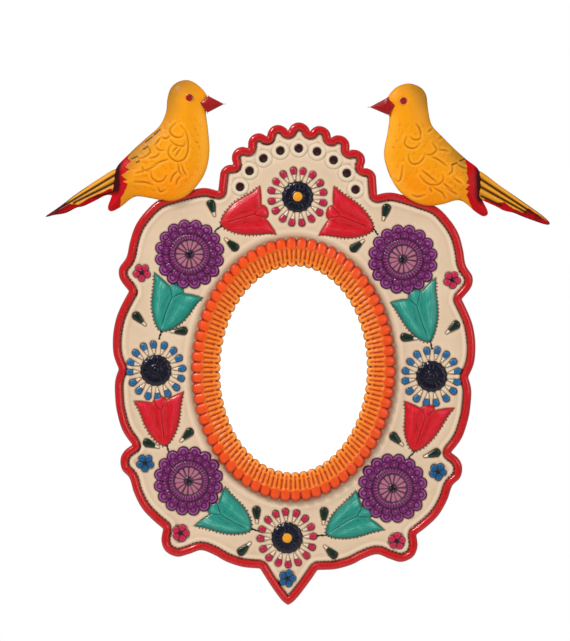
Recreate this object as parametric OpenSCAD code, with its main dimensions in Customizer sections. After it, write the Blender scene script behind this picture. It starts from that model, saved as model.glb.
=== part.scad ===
// Oval wall mirror in an embossed and painted tin frame, with a tin bird on each shoulder.
// Millimetres. X to the right, Z up, the front faces -Y.
// The origin is the middle of the mirror, on the wall that the back pan rests against.

/* [Mirror] */
// Half width of the oval glass
glass_half_w = 63.5; // [62:0.5:65]
// Half height of the oval glass
glass_half_h = 89; // [87:0.5:91]
// Thickness of the glass
glass_t = 3; // [2:0.5:4]
// Thickness of the card behind the glass
card_t = 3.5; // [2:0.5:5]

/* [Tin sheet] */
// Thickness of every tin sheet
tin_t = 0.5; // [0.4:0.05:0.6]
// Width of the rounded rim around the frame
rim_w = 6.4; // [5:0.1:7]
// Height of the rim above the sheet
rim_h = 3.5; // [2.5:0.1:4.5]
// Height of the tulips above the sheet
tulip_h = 1.8; // [1:0.1:3]
// Height of the petals and drops above the sheet
petal_h = 1.2; // [0.6:0.1:2]

/* [Bezel ring] */
// Half width of the opening in the ring
bezel_in_w = 60.4; // [58:0.1:62]
// Half height of the opening in the ring
bezel_in_h = 85.9; // [84:0.1:88]
// Half width over the outside of the ring
bezel_out_w = 85; // [82:0.5:88]
// Half height over the outside of the ring
bezel_out_h = 109.7; // [106:0.1:112]
// Height of the ring above the sheet
bezel_h = 6; // [4:0.5:8]
// Number of lobes around the ring
bezel_lobes = 66; // [48:2:80]

/* [Birds] */
// Depth from the wall to the back edge of the birds
bird_d = 11.3; // [11:0.1:13]
// Height of the dome of each bird
bird_h = 8; // [5:0.5:10]

/* [Hanger] */
// Height of the hanger pin above the middle of the mirror
hanger_z = 171; // [168:0.5:174]
// Radius of the wire of the ring
wire_r = 1; // [0.8:0.1:1.2]
// Radial clearance between the wire and the lug
wire_fit = 0.05; // [0.03:0.01:0.08]
// Half width of the ring between the middles of its legs
ring_half_w = 9; // [8.5:0.5:10]

/* [Hidden] */
$fn = 48;

// Depths from the wall
pan_floor_d = 0;
card_d = pan_floor_d + tin_t;
glass_d = card_d + card_t;
sheet_d = glass_d + glass_t;
face_d = sheet_d + tin_t;

// Half sizes of the ovals in the sheet and the pan
hole_w = glass_half_w - 2;
hole_h = glass_half_h - 2.5;
pan_w = glass_half_w + 8;
pan_h = glass_half_h + 8;
pan_lip = 6;
tab_r = glass_half_w + 0.6;
tab_w = 6;
tab_count = 8;

// Right half of the outline of the frame, from the notch beside the crest down to the bottom tip.
// Each stretch is a smooth curve, and the stretches meet at the notches.
shoulder = [[65.7, 146], [75, 148], [84, 147], [100, 142.5], [115, 137], [126, 126.5],
    [133.5, 115], [137.5, 102], [140, 89.5], [145.8, 80], [144.8, 71], [137.3, 61.3]];
upper_side = [[137.3, 61.3], [143.5, 49], [147.5, 38], [149.6, 24], [148.8, 9], [144.2, -3]];
lower_side = [[144.2, -3], [146.8, -12], [147, -22], [145.2, -37], [140, -53.5], [131.6, -65.4]];
hip = [[131.6, -65.4], [137.6, -70], [141, -77], [139.6, -86], [133.2, -93], [129.2, -105],
    [122.5, -117.3], [113.7, -126.5], [104.5, -134]];
foot = [[104.5, -134], [105.7, -144], [102, -152.5], [92.5, -156.8], [82.5, -154.3], [72.5, -151],
    [61.5, -154.7], [51.5, -160], [38, -164], [23.7, -165]];
tip = [[23.7, -165], [17.5, -174.5], [10, -185], [4.5, -191.5], [0, -194.5]];
tip_z = -194.5;

// Scalloped crest: lobes on an arc about a point on the middle line
crest_z = 137.5;
crest_r = 66.5;
lobe_step = 17.3;
lobe_r = 9.2;
crest_dot_z = 131.5;
crest_dot_r = 51;
crest_dots = 9;

// Places of the motifs, each [x, z]
rosettes = [[-88, 93], [88, 93], [-84.5, -94], [84, -96]];
pink_daisies = [[0, 142.5], [-2, -139]];
blue_daisies = [[-113.5, -3.4], [114, -3]];
small_flowers = [[-127, 77], [129, 77], [-90, -137], [88.5, -139.5], [-120.5, -80], [121, -81.5],
    [-1, -172.5]];
// Tulips, each [x of base, z of base, direction, length]
tulips = [[-62, 118.5, 18, 44], [62, 118, 162, 44], [-105, -64, 100, 42], [102, -64, 78, 42],
    [-110, 30.5, 70, 44], [111, 27, 111, 44], [-33, -133, 149, 42], [31.5, -135, 32, 42]];
// Drops, each [x, z, direction of the tail]
drops = [[-70.6, 133, 288], [73, 133, 256], [-52.5, 101, 140], [49, 102.5, 40], [-129, 39.5, 316],
    [131.5, 38.5, 222], [-93.7, 29.6, 185], [93, 28.5, 355], [-117.5, -64, 340], [117.5, -66.5, 200],
    [-86, -55.3, 228], [85.3, -54.7, 317], [-27.7, -119, 274], [28, -118.7, 268], [-38, -149.7, 46],
    [35, -150.6, 137]];

// Outline of a tulip that points along +X, its base at the origin and its length 1
tulip_shape = [[0, 0], [0.1, 0.25], [0.35, 0.42], [0.62, 0.43], [1, 0.52], [0.84, 0.3], [0.72, 0.2],
    [0.86, 0.08], [0.88, 0], [0.86, -0.08], [0.72, -0.2], [0.84, -0.3], [1, -0.52], [0.62, -0.43],
    [0.35, -0.42], [0.1, -0.25]];

// Outlines of the birds, and the point that the dome of each rises to
left_body = [[-77, 224.5], [-85.5, 232.4], [-93, 235.8], [-101.6, 232.6], [-106.8, 227.3], [-109, 219],
    [-110, 209.5], [-115, 198], [-126, 187.5], [-138.5, 175.5], [-149.5, 163], [-151.5, 151], [-153, 140],
    [-156, 130], [-153, 126.7], [-145.5, 130.5], [-137, 137.5], [-130, 139.5], [-113, 137], [-101.5, 136.6],
    [-90, 142], [-80, 153.8], [-75, 165.5], [-73.5, 179.5], [-75, 195.5], [-77, 209], [-76.5, 217]];
left_beak = [[-82, 217.3], [-75.3, 223.4], [-62.4, 217.1], [-75.8, 209.6]];
left_eye = [-90.3, 221];
left_peak = [-100, 170];
left_tail = [[-142, 158], [-150, 161.8], [-165, 152.8], [-183, 139.9], [-195, 130.2], [-207.2, 121.2],
    [-190.5, 124.5], [-179, 129.5], [-164, 135], [-152, 140], [-144, 141]];
left_ribs = [[[-154.5, 156], [-192, 131.5]], [[-155.5, 149], [-191, 128.5]], [[-157, 142.5], [-178, 132]]];
right_body = [[72, 225.2], [78.7, 234], [89, 237.7], [98.5, 235], [103.8, 228.5], [105.8, 216], [109, 204],
    [117.5, 195], [128.3, 184.7], [138, 176.5], [148.2, 168.3], [150.5, 156], [149.5, 147], [152.4, 142.5],
    [157, 133], [153.5, 129.8], [146.5, 133.5], [138, 140.5], [131, 142.5], [119.5, 139], [108, 137.4],
    [96.7, 140], [85, 147.5], [76.3, 159.5], [71, 173.8], [70.4, 183.5], [72.8, 197], [74, 210], [72.6, 218]];
right_beak = [[78.5, 219], [73.3, 211.1], [57.6, 217.4], [71.8, 225.4]];
right_eye = [85.5, 222.6];
right_peak = [101, 172];
right_tail = [[143, 162], [148.6, 167.4], [167, 155], [188.5, 140.8], [202, 131.6], [208, 125.8],
    [205, 124.2], [191.5, 128.3], [178, 133.3], [164, 138], [152, 143], [144, 146]];
right_ribs = [[[154, 160], [198, 132]], [[155.5, 153], [193, 130.5]], [[157, 146.5], [178, 136]]];

// Straps, each [lower end, upper end], that carry the birds behind the frame
left_strap = [[-86, 124], [-125, 185]];
right_strap = [[92, 124], [126, 183.5]];
strap_w = 9;
strap_step = 28;
strap_rise = 5;

// Hanger
pin_d = sheet_d - 1.9;
knuckle_r = 1.7;
knuckle_w = 12;
leaf_h = 15;
ring_corner_r = 2;
ring_leg = 5;

solder_h = 0.8;
tin = "silver";
solder = "darkgray";

// A slab that stands upright: its back face is d in front of the wall and it is t thick
module slab(d, t) {
    translate([0, -d, 0]) rotate([90, 0, 0]) linear_extrude(t) children();
}

// A solid turned about a line from back to front through the point p, starting d in front of the wall
module turned(p, d) {
    translate([p[0], -d, p[1]]) rotate([90, 0, 0]) rotate_extrude() children();
}

function spin(p, a) = [p[0] * cos(a) - p[1] * sin(a), p[0] * sin(a) + p[1] * cos(a)];
function reversed(list) = [for (i = [len(list) - 1:-1:0]) list[i]];
function mirrored(list) = [for (p = list) [-p[0], p[1]]];
function unit(v) = v / norm(v);

// Smooth curve through points, with n steps between two of them, without its last point
function bend(a, b, c, d, t) = 0.5 * (2 * b + (c - a) * t + (2 * a - 5 * b + 4 * c - d) * t * t
    + (3 * b - a - 3 * c + d) * t * t * t);
function curve(list, n) = [for (i = [0:len(list) - 2]) for (k = [0:n - 1])
    bend(list[max(i - 1, 0)], list[i], list[i + 1], list[min(i + 2, len(list) - 1)], k / n)];

function oval(w, h, n = 96) = [for (i = [0:n - 1]) [w * cos(360 * i / n), h * sin(360 * i / n)]];
function ellipse_at(p, w, h, a, n = 12) = [for (q = oval(w, h, n)) p + spin(q, a)];

// Lobe number i of the crest is an arc from a valley to the next, and the last one runs down to the shoulder
lobe_mid_r = crest_r - lobe_r;
half_gap = lobe_mid_r * sin(lobe_step / 2);
valley_a = atan2(half_gap, sqrt(pow(lobe_r, 2) - pow(half_gap, 2))) + lobe_step / 2;
function crest_lobe(i, from, to, n = 5) = let (a = 90 - i * lobe_step,
    mid = [0, crest_z] + spin([lobe_mid_r + 0.12 * i * i, 0], a))
    [for (k = [0:n - 1]) mid + spin([lobe_r, 0], a + from + (to - from) * k / n)];
half_crest = concat(crest_lobe(0, 0, -valley_a, 3),
    [for (i = [1:3]) each crest_lobe(i, valley_a, -valley_a)], crest_lobe(4, valley_a, -32));
right_half = concat(half_crest, curve(shoulder, 2), curve(upper_side, 2), curve(lower_side, 2),
    curve(hip, 2), curve(foot, 2), curve(tip, 2));
outline = concat(right_half, [[0, tip_z]], reversed([for (p = mirrored(right_half)) if (p[0] < 0) p]));

// The outline moved inwards by w. Points that would cross at the bottom tip are left out.
function inward(list, i) = let (n = len(list), before = unit(list[i] - list[(i + n - 1) % n]),
    after = unit(list[(i + 1) % n] - list[i]), side = unit(before + after))
    [side[1], -side[0]] / max(0.7, side * after);
function inset(w) = let (half = [for (i = [0:len(right_half) - 1]) outline[i] + inward(outline, i) * w],
    kept = [for (p = half) if (p[0] > 1.2 * w / rim_w) p], top = crest_z + lobe_mid_r + lobe_r - w)
    concat([[0, top]], kept, [[0, tip_z + 1.35 * w]], reversed(mirrored(kept)));

module band(w1, w2) {
    difference() {
        polygon(w1 == 0 ? outline : inset(w1));
        polygon(inset(w2));
    }
}

module rim_bead() {
    slab(sheet_d, tin_t + 0.6 * rim_h) band(0, rim_w);
    slab(face_d, rim_h) band(0.2 * rim_w, 0.8 * rim_w);
}

module rim_channel() {
    slab(sheet_d - 0.1, 0.1 + 0.6 * rim_h) band(tin_t, rim_w - tin_t);
}

// Embossed round motifs: the profile is a list of [radius, height] from the edge to the middle
module dome(p, profile) {
    turned(p, face_d - 0.3) polygon(concat([[0, 0]], [[profile[0][0], 0]],
        [for (q = profile) [q[0], q[1] + 0.3]]));
}

module dome_pocket(p, profile) {
    turned(p, sheet_d - 0.1) polygon(concat([[0, 0]], [[profile[0][0] - tin_t, 0]],
        [for (i = [0:len(profile) - 1]) [profile[i][0] - (i < 2 ? tin_t : 0), profile[i][1] + 0.1]]));
}

rosette_profile = [[28, 0], [26.6, 1.8], [20, 2.8], [18.2, 1.7], [16.4, 3.2], [14.4, 3.2], [12.8, 1.6],
    [2.4, 2.2], [0, 3.2]];
daisy_profile = [[12.6, 0], [11.4, 1.2], [4.4, 2], [3.4, 2.8], [0, 3]];
flower_profile = [[8, 0], [6.6, 1.3], [2.2, 1.3], [0, 2]];
dot_profile = [[6.6, 0], [5.4, 1.2], [3.8, 1.2], [3.4, 0.6], [0, 1.4]];

module round_motifs(pocket = false) {
    for (p = rosettes) round_motif(p, rosette_profile, pocket);
    for (p = concat(pink_daisies, blue_daisies)) round_motif(p, daisy_profile, pocket);
    for (p = small_flowers) round_motif(p, flower_profile, pocket);
    for (i = [0:crest_dots - 1])
        round_motif([0, crest_dot_z] + spin([crest_dot_r, 0], 90 + (i - 4) * lobe_step), dot_profile, pocket);
}

module round_motif(p, profile, pocket) {
    if (pocket) dome_pocket(p, profile);
    else dome(p, profile);
}

function tulip_points(t, s) = [for (q = tulip_shape)
    [t[0], t[1]] + spin([t[3] * (0.5 + (q[0] - 0.5) * s), t[3] * q[1] * s], t[2])];

module petals() {
    slab(face_d - 0.3, petal_h + 0.3) {
        for (p = concat(pink_daisies, blue_daisies)) for (a = [0:22.5:337.5])
            polygon(ellipse_at(p + spin([21.5, 0], a), 3.8, 2.4, a));
        for (d = drops) polygon(ellipse_at([d[0], d[1]] + spin([2, 0], d[2]), 6.5, 3.6, d[2]));
    }
}

module face_sheet() {
    color("bisque") difference() {
        union() {
            slab(sheet_d, tin_t) difference() {
                polygon(outline);
                polygon(oval(hole_w, hole_h));
            }
            rim_bead();
            round_motifs();
            petals();
            for (t = tulips) slab(face_d - 0.3, tulip_h + 0.3) polygon(tulip_points(t, 1));
        }
        rim_channel();
        round_motifs(true);
        for (t = tulips) slab(sheet_d - 0.1, tulip_h + 0.1) polygon(tulip_points(t, 0.94));
        for (i = [0:tab_count - 1]) at_tab(i) translate([-0.4, -face_d - 1, -tab_w / 2 - 0.2])
            cube([tin_t + 0.3, 3, tab_w + 0.4]);
    }
}

// Ring of lobes around the mirror: rings of points from the inner edge over the dome and back underneath
function even_angle(a) = a - 3.7 * sin(2 * a);
function bezel_point(f, h, a) = let (t = even_angle(a), wave = cos(a * bezel_lobes),
    side = 0.5 * wave * (f < 0.1 ? -1 : f > 0.9 ? 1 : 0), lift = h * (0.93 + 0.07 * wave))
    [((1 - f) * bezel_in_w + f * bezel_out_w + side) * cos(t), -face_d - lift,
     ((1 - f) * bezel_in_h + f * bezel_out_h + side) * sin(t)];
bezel_section = [[0, 0], [0, 0.12], [0.2, 0.78], [0.5, 1], [0.8, 0.8], [1, 0.12], [1, 0], [0.95, 0],
    [0.5, 0.9], [0.05, 0]];
bezel_steps = bezel_lobes * 4;

module bezel_ring() {
    n = len(bezel_section);
    color("orangered") polyhedron(
        points = [for (i = [0:bezel_steps - 1]) for (s = bezel_section)
            bezel_point(s[0], s[1] * bezel_h, 360 * i / bezel_steps)],
        faces = [for (i = [0:bezel_steps - 1]) for (j = [0:n - 1])
            let (a = i * n, b = ((i + 1) % bezel_steps) * n, k = (j + 1) % n)
            each [[a + j, a + k, b + j], [a + k, b + k, b + j]]]);
}

// Places the children at the slot of tab number i, with X pointing away from the mirror
module at_tab(i) {
    a = even_angle(22.5 + 360 * i / tab_count);
    p = [tab_r * cos(a), (tab_r + glass_half_h - glass_half_w) * sin(a)];
    lean = atan2(p[1] / pow(tab_r + glass_half_h - glass_half_w, 2), p[0] / pow(tab_r, 2));
    translate([p[0], 0, p[1]]) rotate([0, -lean, 0]) children();
}

module bezel_tabs() {
    color(tin) for (i = [0:tab_count - 1]) at_tab(i) {
        translate([-0.2, -face_d - 0.8, -tab_w / 2]) cube([tin_t - 0.1, 0.8 + 2 * tin_t, tab_w]);
        translate([-0.2, -sheet_d, -tab_w / 2]) cube([4.5, tin_t, tab_w]);
    }
}

module mirror_glass() {
    color("lightcyan") slab(glass_d, glass_t) polygon(oval(glass_half_w, glass_half_h));
}

module backing_card() {
    color("tan") slab(card_d, card_t) polygon(oval(pan_w - tin_t - 0.5, pan_h - tin_t - 0.5));
}

module back_pan() {
    color(tin) union() {
        slab(pan_floor_d, tin_t) polygon(oval(pan_w, pan_h));
        slab(pan_floor_d, sheet_d) difference() {
            polygon(oval(pan_w, pan_h));
            polygon(oval(pan_w - tin_t, pan_h - tin_t));
        }
        slab(sheet_d - tin_t, tin_t) difference() {
            polygon(oval(pan_w + pan_lip, pan_h + pan_lip));
            polygon(oval(pan_w - tin_t, pan_h - tin_t));
        }
    }
}

// A flat bead of solder on the back of the sheet
module solder_bead(p, r) {
    translate([p[0], -sheet_d, p[1]]) rotate([-90, 0, 0]) cylinder(h = solder_h, r1 = r, r2 = 0.5 * r);
}

module pan_solder() {
    color(solder) difference() {
        for (a = [30:30:360]) solder_bead([(pan_w + pan_lip) * cos(a), (pan_h + pan_lip) * sin(a)], 4);
        back_pan();
    }
}

// A domed bird: rings of points from the edge in to the peak, in front and behind
function bird_ring(list, peak, s, h) = [for (p = list) let (q = peak + (p - peak) * s)
    [q[0], -bird_d - h, q[1]]];
bird_rings = [[1, 0.16], [0.93, 0.45], [0.82, 0.72], [0.6, 0.9], [0.3, 0.99]];

module bird_shell(list, peak) {
    n = len(list);
    m = len(bird_rings);
    front = [for (r = bird_rings) each bird_ring(list, peak, r[0], r[1] * bird_h)];
    back = [for (r = bird_rings) each bird_ring(list, peak, r[0] * 0.985, r[1] * bird_h - 0.16 * bird_h)];
    tops = [for (h = [1, 0.84]) [peak[0], -bird_d - h * bird_h, peak[1]]];
    points = concat(front, back, tops);
    side = [for (j = [0:m - 2]) for (i = [0:n - 1]) let (a = j * n + i, b = j * n + (i + 1) % n)
        each [[a, b, a + n], [b, b + n, a + n]]];
    top = [for (i = [0:n - 1]) [(m - 1) * n + i, (m - 1) * n + (i + 1) % n, 2 * m * n]];
    inner = [for (j = [0:m - 2]) for (i = [0:n - 1]) let (a = (m + j) * n + i, b = (m + j) * n + (i + 1) % n)
        each [[a, a + n, b], [b, a + n, b + n]]];
    roof = [for (i = [0:n - 1]) [(2 * m - 1) * n + i, 2 * m * n + 1, (2 * m - 1) * n + (i + 1) % n]];
    edge = [for (i = [0:n - 1]) let (a = i, b = (i + 1) % n, c = m * n + i, d = m * n + (i + 1) % n)
        each [[a, c, b], [b, c, d]]];
    polyhedron(points = points, faces = concat(side, top, inner, roof, edge));
}

module bird(list, peak, beak, eye) {
    color("goldenrod") bird_shell(list, peak);
    color("darkred") slab(bird_d + 0.4, 2.4) polygon(beak);
    color("red") translate([eye[0], -bird_d - 0.65 * bird_h, eye[1]]) sphere(r = 2.4);
}

module bird_left() {
    bird(reversed(left_body), left_peak, left_beak, left_eye);
}

module bird_right() {
    bird(right_body, right_peak, right_beak, right_eye);
}

// A flat tail with raised ribs, each [root, end], that taper towards its tip
module tail(list, ribs) {
    color("goldenrod") union() {
        slab(bird_d - tin_t, tin_t) polygon(list);
        for (r = ribs) let (across = spin(unit(r[1] - r[0]), 90) * 1.8)
            slab(bird_d - 0.2, 1.2)
                polygon([r[0] - across, r[0] + across, r[1] + 0.3 * across, r[1] - 0.3 * across]);
    }
}

module tail_left() {
    tail(left_tail, left_ribs);
}

module tail_right() {
    tail(right_tail, right_ribs);
}

// A strap that lies on the back of the sheet, steps forward past its edge and runs up behind a bird
module strap(ends) {
    run = norm(ends[1] - ends[0]);
    a = atan2(ends[1][1] - ends[0][1], ends[1][0] - ends[0][0]);
    back = -sheet_d + tin_t;
    front = -bird_d + tin_t;
    color(tin) translate([ends[0][0], 0, ends[0][1]]) rotate([0, -a, 0]) translate([0, 0, -strap_w / 2])
        linear_extrude(strap_w) polygon([[0, back], [strap_step, back], [strap_step + strap_rise, front],
            [run, front], [run, front - tin_t], [strap_step + strap_rise, front - tin_t],
            [strap_step, back - tin_t], [0, back - tin_t]]);
}

module strap_left() {
    strap(left_strap);
}

module strap_right() {
    strap(right_strap);
}

// Solder along both sides of the lower end of each strap
module strap_solder() {
    color(solder) for (ends = [left_strap, right_strap]) for (side = [-1, 1]) {
        along = unit(ends[1] - ends[0]);
        across = spin(along, 90) * side;
        start = ends[0] + across * (strap_w / 2 + 0.02);
        slab(sheet_d - solder_h, solder_h)
            polygon([start + along * 2, start + along * 14, start + along * 11 + across * 3,
                start + along * 5 + across * 3]);
    }
}

module hanger_lug() {
    color(tin) difference() {
        union() {
            translate([-knuckle_w / 2, -sheet_d, hanger_z - leaf_h]) cube([knuckle_w, tin_t, leaf_h]);
            translate([0, -pin_d, hanger_z]) rotate([0, 90, 0])
                cylinder(h = knuckle_w, r = knuckle_r, center = true);
        }
        translate([0, -pin_d, hanger_z]) rotate([0, 90, 0])
            cylinder(h = knuckle_w + 2, r = wire_r + wire_fit, center = true);
    }
}

module hanger_solder() {
    color(solder) difference() {
        for (side = [-1, 1]) solder_bead([side * knuckle_w / 2, hanger_z - 12], 2.6);
        hanger_lug();
    }
}

// D-shaped wire ring that hangs down from its straight bar
module hanger_ring() {
    bar = 2 * (ring_half_w - ring_corner_r);
    color("gray") translate([0, -pin_d, hanger_z]) union() {
        rotate([0, 90, 0]) cylinder(h = bar, r = wire_r, center = true);
        for (side = [0, 1]) mirror([side, 0, 0]) {
            translate([bar / 2, 0, -ring_corner_r]) rotate([90, 0, 0])
                rotate_extrude(angle = 90) translate([ring_corner_r, 0]) circle(r = wire_r);
            translate([ring_half_w, 0, -ring_corner_r - ring_leg]) cylinder(h = ring_leg, r = wire_r);
        }
        translate([0, 0, -ring_corner_r - ring_leg]) rotate([90, 0, 0]) rotate([0, 0, 180])
            rotate_extrude(angle = 180) translate([ring_half_w, 0]) circle(r = wire_r);
    }
}

face_sheet();
bezel_ring();
bezel_tabs();
mirror_glass();
backing_card();
back_pan();
pan_solder();
bird_left();
bird_right();
tail_left();
tail_right();
strap_left();
strap_right();
strap_solder();
hanger_lug();
hanger_solder();
hanger_ring();
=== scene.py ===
"""Looks of the oval wall mirror in an embossed, painted tin frame with two tin birds.

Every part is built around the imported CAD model, in its frame: X right, Z up, the front faces -Y.
Shapes are worked out in millimetres and turned into metres when a mesh is made. "Depth" is the
distance in front of the wall, so a point at depth d has y = -d.
"""

import math

import bpy
import numpy as np
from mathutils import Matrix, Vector
from mathutils.geometry import delaunay_2d_cdt


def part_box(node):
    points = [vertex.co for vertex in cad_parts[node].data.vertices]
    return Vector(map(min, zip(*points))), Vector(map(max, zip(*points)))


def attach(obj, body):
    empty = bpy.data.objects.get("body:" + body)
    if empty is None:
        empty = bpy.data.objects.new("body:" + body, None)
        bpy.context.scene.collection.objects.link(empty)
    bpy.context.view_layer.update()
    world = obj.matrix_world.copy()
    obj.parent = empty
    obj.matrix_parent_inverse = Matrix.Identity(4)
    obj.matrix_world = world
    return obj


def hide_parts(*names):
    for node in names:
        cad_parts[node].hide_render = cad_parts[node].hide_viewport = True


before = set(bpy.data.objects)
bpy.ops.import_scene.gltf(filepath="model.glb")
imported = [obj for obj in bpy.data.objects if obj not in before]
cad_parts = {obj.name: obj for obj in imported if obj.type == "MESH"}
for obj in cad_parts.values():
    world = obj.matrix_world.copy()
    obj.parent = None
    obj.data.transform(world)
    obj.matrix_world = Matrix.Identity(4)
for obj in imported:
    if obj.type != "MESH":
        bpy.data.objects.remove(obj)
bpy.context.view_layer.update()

MM = 0.001
BODY = "frame"
chance = np.random.default_rng(11)

# ---------------------------------------------------------------- sizes, in millimetres

SHEET_BACK = -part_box("mirror_glass")[0][1] / MM
TIN = 0.5
RUST = 0.5
FACE = SHEET_BACK + TIN
RIM_W = 6.6
RIM_H = 3.4
DROP_END = 0.9
BIRD_BACK = -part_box("bird_left")[1][1] / MM
BIRD_H = 7.6
OVAL_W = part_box("bezel_ring")[1][0] / MM - 0.5
OVAL_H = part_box("bezel_ring")[1][2] / MM - 0.5
BEZEL_W = 25.0
BEZEL_H = 5.6

# Right half of the outline, from the notch beside the crest down to the bottom tip
SHOULDER = [(65.7, 146), (75, 148), (84, 147), (100, 142.5), (115, 137), (126, 126.5), (133.5, 115),
            (137.5, 102),
            (140, 89.5), (145.8, 80), (144.8, 71), (137.3, 61.3)]
UPPER_SIDE = [(137.3, 61.3), (143.5, 49), (147.5, 38), (149.6, 24), (148.8, 9), (144.2, -3)]
LOWER_SIDE = [(144.2, -3), (146.8, -12), (147, -22), (145.2, -37), (140, -53.5), (131.6, -65.4)]
HIP = [(131.6, -65.4), (137.6, -70), (141, -77), (139.6, -86), (133.2, -93), (129.2, -105), (122.5, -117.3),
       (113.7, -126.5), (104.5, -134)]
FOOT = [(104.5, -134), (105.7, -144), (102, -152.5), (92.5, -156.8), (82.5, -154.3), (72.5, -151),
        (61.5, -154.7),
        (51.5, -160), (38, -164), (23.7, -165)]
TIP = [(23.7, -165), (17.5, -174.5), (10, -185), (4.5, -191.5), (0, -194.5)]
ROSETTE_R, DAISY_R, PETAL_R, DROP_R, DOT_RING_R, EYE_R = 28.9, 13.1, 2.95, 3.6, 7.4, 2.9
CREST_Z, CREST_R, LOBE_STEP, LOBE_R = 137.5, 66.5, 17.3, 9.2
DOT_Z, DOT_R = 131.5, 51.0

# Places of the motifs
ROSETTES = [(-88, 93), (88, 93), (-84.5, -94), (84, -96)]
PINK_DAISIES = [(0, 142.5), (-2, -139)]
BLUE_DAISIES = [(-113.5, -3.4), (114, -3)]
PINK_FLOWERS = [(-127, 77), (129, 77), (-90, -137), (88.5, -139.5)]
BLUE_FLOWERS = [(-120.5, -80), (121, -81.5), (-1, -172.5)]
# Tulips: base, left tip and right tip as seen with the flower upright, and the stem's far end
RED_TULIPS = [((-62, 118.5), (-31.3, 150.6), (-16.6, 111), (-67.5, 111.8)),
              ((62.3, 117.7), (18, 111), (29.8, 152), (67.5, 113)),
              ((-104.5, -64.5), (-131, -29.3), (-90, -20.4), (-100, -71.5)),
              ((101.5, -64.2), (92, -24), (133.2, -28.6), (97, -71))]
TEAL_TULIPS = [((-110.3, 30.2), (-117, 77.5), (-76, 57.3), (-111, 22)),
               ((111.3, 26.5), (78.2, 57), (115.7, 78.6), (114.5, 19.5)),
               ((-33, -133), (-79, -131), (-54, -98), (-24.8, -133.3)),
               ((31.4, -135), (53.7, -98.6), (78.2, -130.6), (22.6, -137.3))]
# Drops: middle of the head and the way the tail points, in degrees
DROPS = [((-70.6, 133), 288), ((73, 133), 256), ((-52.5, 101), 140), ((49, 102.5), 40), ((-129, 39.5), 316),
         ((131.5, 38.5), 222), ((-93.7, 29.6), 185), ((93, 28.5), 355), ((-117.5, -64), 340),
         ((117.5, -66.5), 200),
         ((-86, -55.3), 228), ((85.3, -54.7), 317), ((-27.7, -119), 274), ((28, -118.7), 268),
         ((-38, -149.7), 46), ((35, -150.6), 137)]
# Outline of one half of a tulip: along its axis from the base, and across towards a tip
TULIP_SIDE = [(-0.02, 0), (-0.012, 0.08), (0.03, 0.19), (0.1, 0.32), (0.2, 0.455), (0.35, 0.605), (0.5, 0.7),
              (0.67, 0.78),
              (0.83, 0.865), (1.0, 1.0)]
TULIP_TOP = [(1.0, 1.0), (0.985, 0.82), (0.96, 0.62), (0.93, 0.44), (0.9, 0.29)]
TULIP_BUD = [(0.9, 0.29), (0.95, 0.24), (0.985, 0.13), (0.995, 0.0)]

# ---------------------------------------------------------------- plane geometry


def turned(p, degrees):
    """Points turned about the origin."""
    a = math.radians(degrees)
    p = np.asarray(p, float)
    return np.stack([p[..., 0] * math.cos(a) - p[..., 1] * math.sin(a),
                     p[..., 0] * math.sin(a) + p[..., 1] * math.cos(a)], -1)


def smooth(low, high, x):
    t = np.clip((x - low) / (high - low), 0, 1)
    return t * t * (3 - 2 * t)


def bump(x, width):
    return np.exp(-(np.asarray(x) / width) ** 2)


def curve(points, n):
    """Smooth curve through the points, n steps between two of them, without its last point."""
    p = np.array(points, float)
    t = np.linspace(0, 1, n, endpoint=False)[:, None]
    out = []
    for i in range(len(p) - 1):
        a, b, c, d = p[max(i - 1, 0)], p[i], p[i + 1], p[min(i + 2, len(p) - 1)]
        bend, twist = 2 * a - 5 * b + 4 * c - d, 3 * b - a - 3 * c + d
        out.append(0.5 * (2 * b + (c - a) * t + bend * t**2 + twist * t**3))
    return np.concatenate(out)


def closed(points, n=4):
    """Smooth closed curve through the points."""
    p = list(map(tuple, points))
    m = len(p)
    return curve(p[-2:] + p + p[:2], n)[2 * n:(m + 2) * n]


def even(points, step):
    """The closed outline cut into equal steps."""
    p = np.vstack([points, points[:1]])
    s = np.r_[0, np.cumsum(np.linalg.norm(np.diff(p, axis=0), axis=1))]
    at = np.linspace(0, s[-1], max(8, int(round(s[-1] / step))), endpoint=False)
    return np.stack([np.interp(at, s, p[:, k]) for k in (0, 1)], -1)


def edge_distance(p, outline):
    """Distance of points from a closed outline, positive inside, and how far along it the nearest one is."""
    a = np.asarray(outline)
    d = np.roll(a, -1, 0) - a
    along = np.r_[0, np.cumsum(np.linalg.norm(d, axis=1))][:-1]
    best = np.full(len(p), 1e9)
    run = np.zeros(len(p))
    inside = np.zeros(len(p), bool)
    for q, e, s in zip(a, d, along):
        w = p - q
        t = np.clip((w @ e) / max(e @ e, 1e-12), 0, 1)
        dist = np.hypot(w[:, 0] - t * e[0], w[:, 1] - t * e[1])
        near = dist < best
        best = np.where(near, dist, best)
        run = np.where(near, s + t * math.hypot(*e), run)
        crosses = (q[1] > p[:, 1]) != (q[1] + e[1] > p[:, 1])
        with np.errstate(divide="ignore", invalid="ignore"):
            inside ^= crosses & (w[:, 0] < e[0] * w[:, 1] / e[1])
    return np.where(inside, best, -best), run


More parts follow.
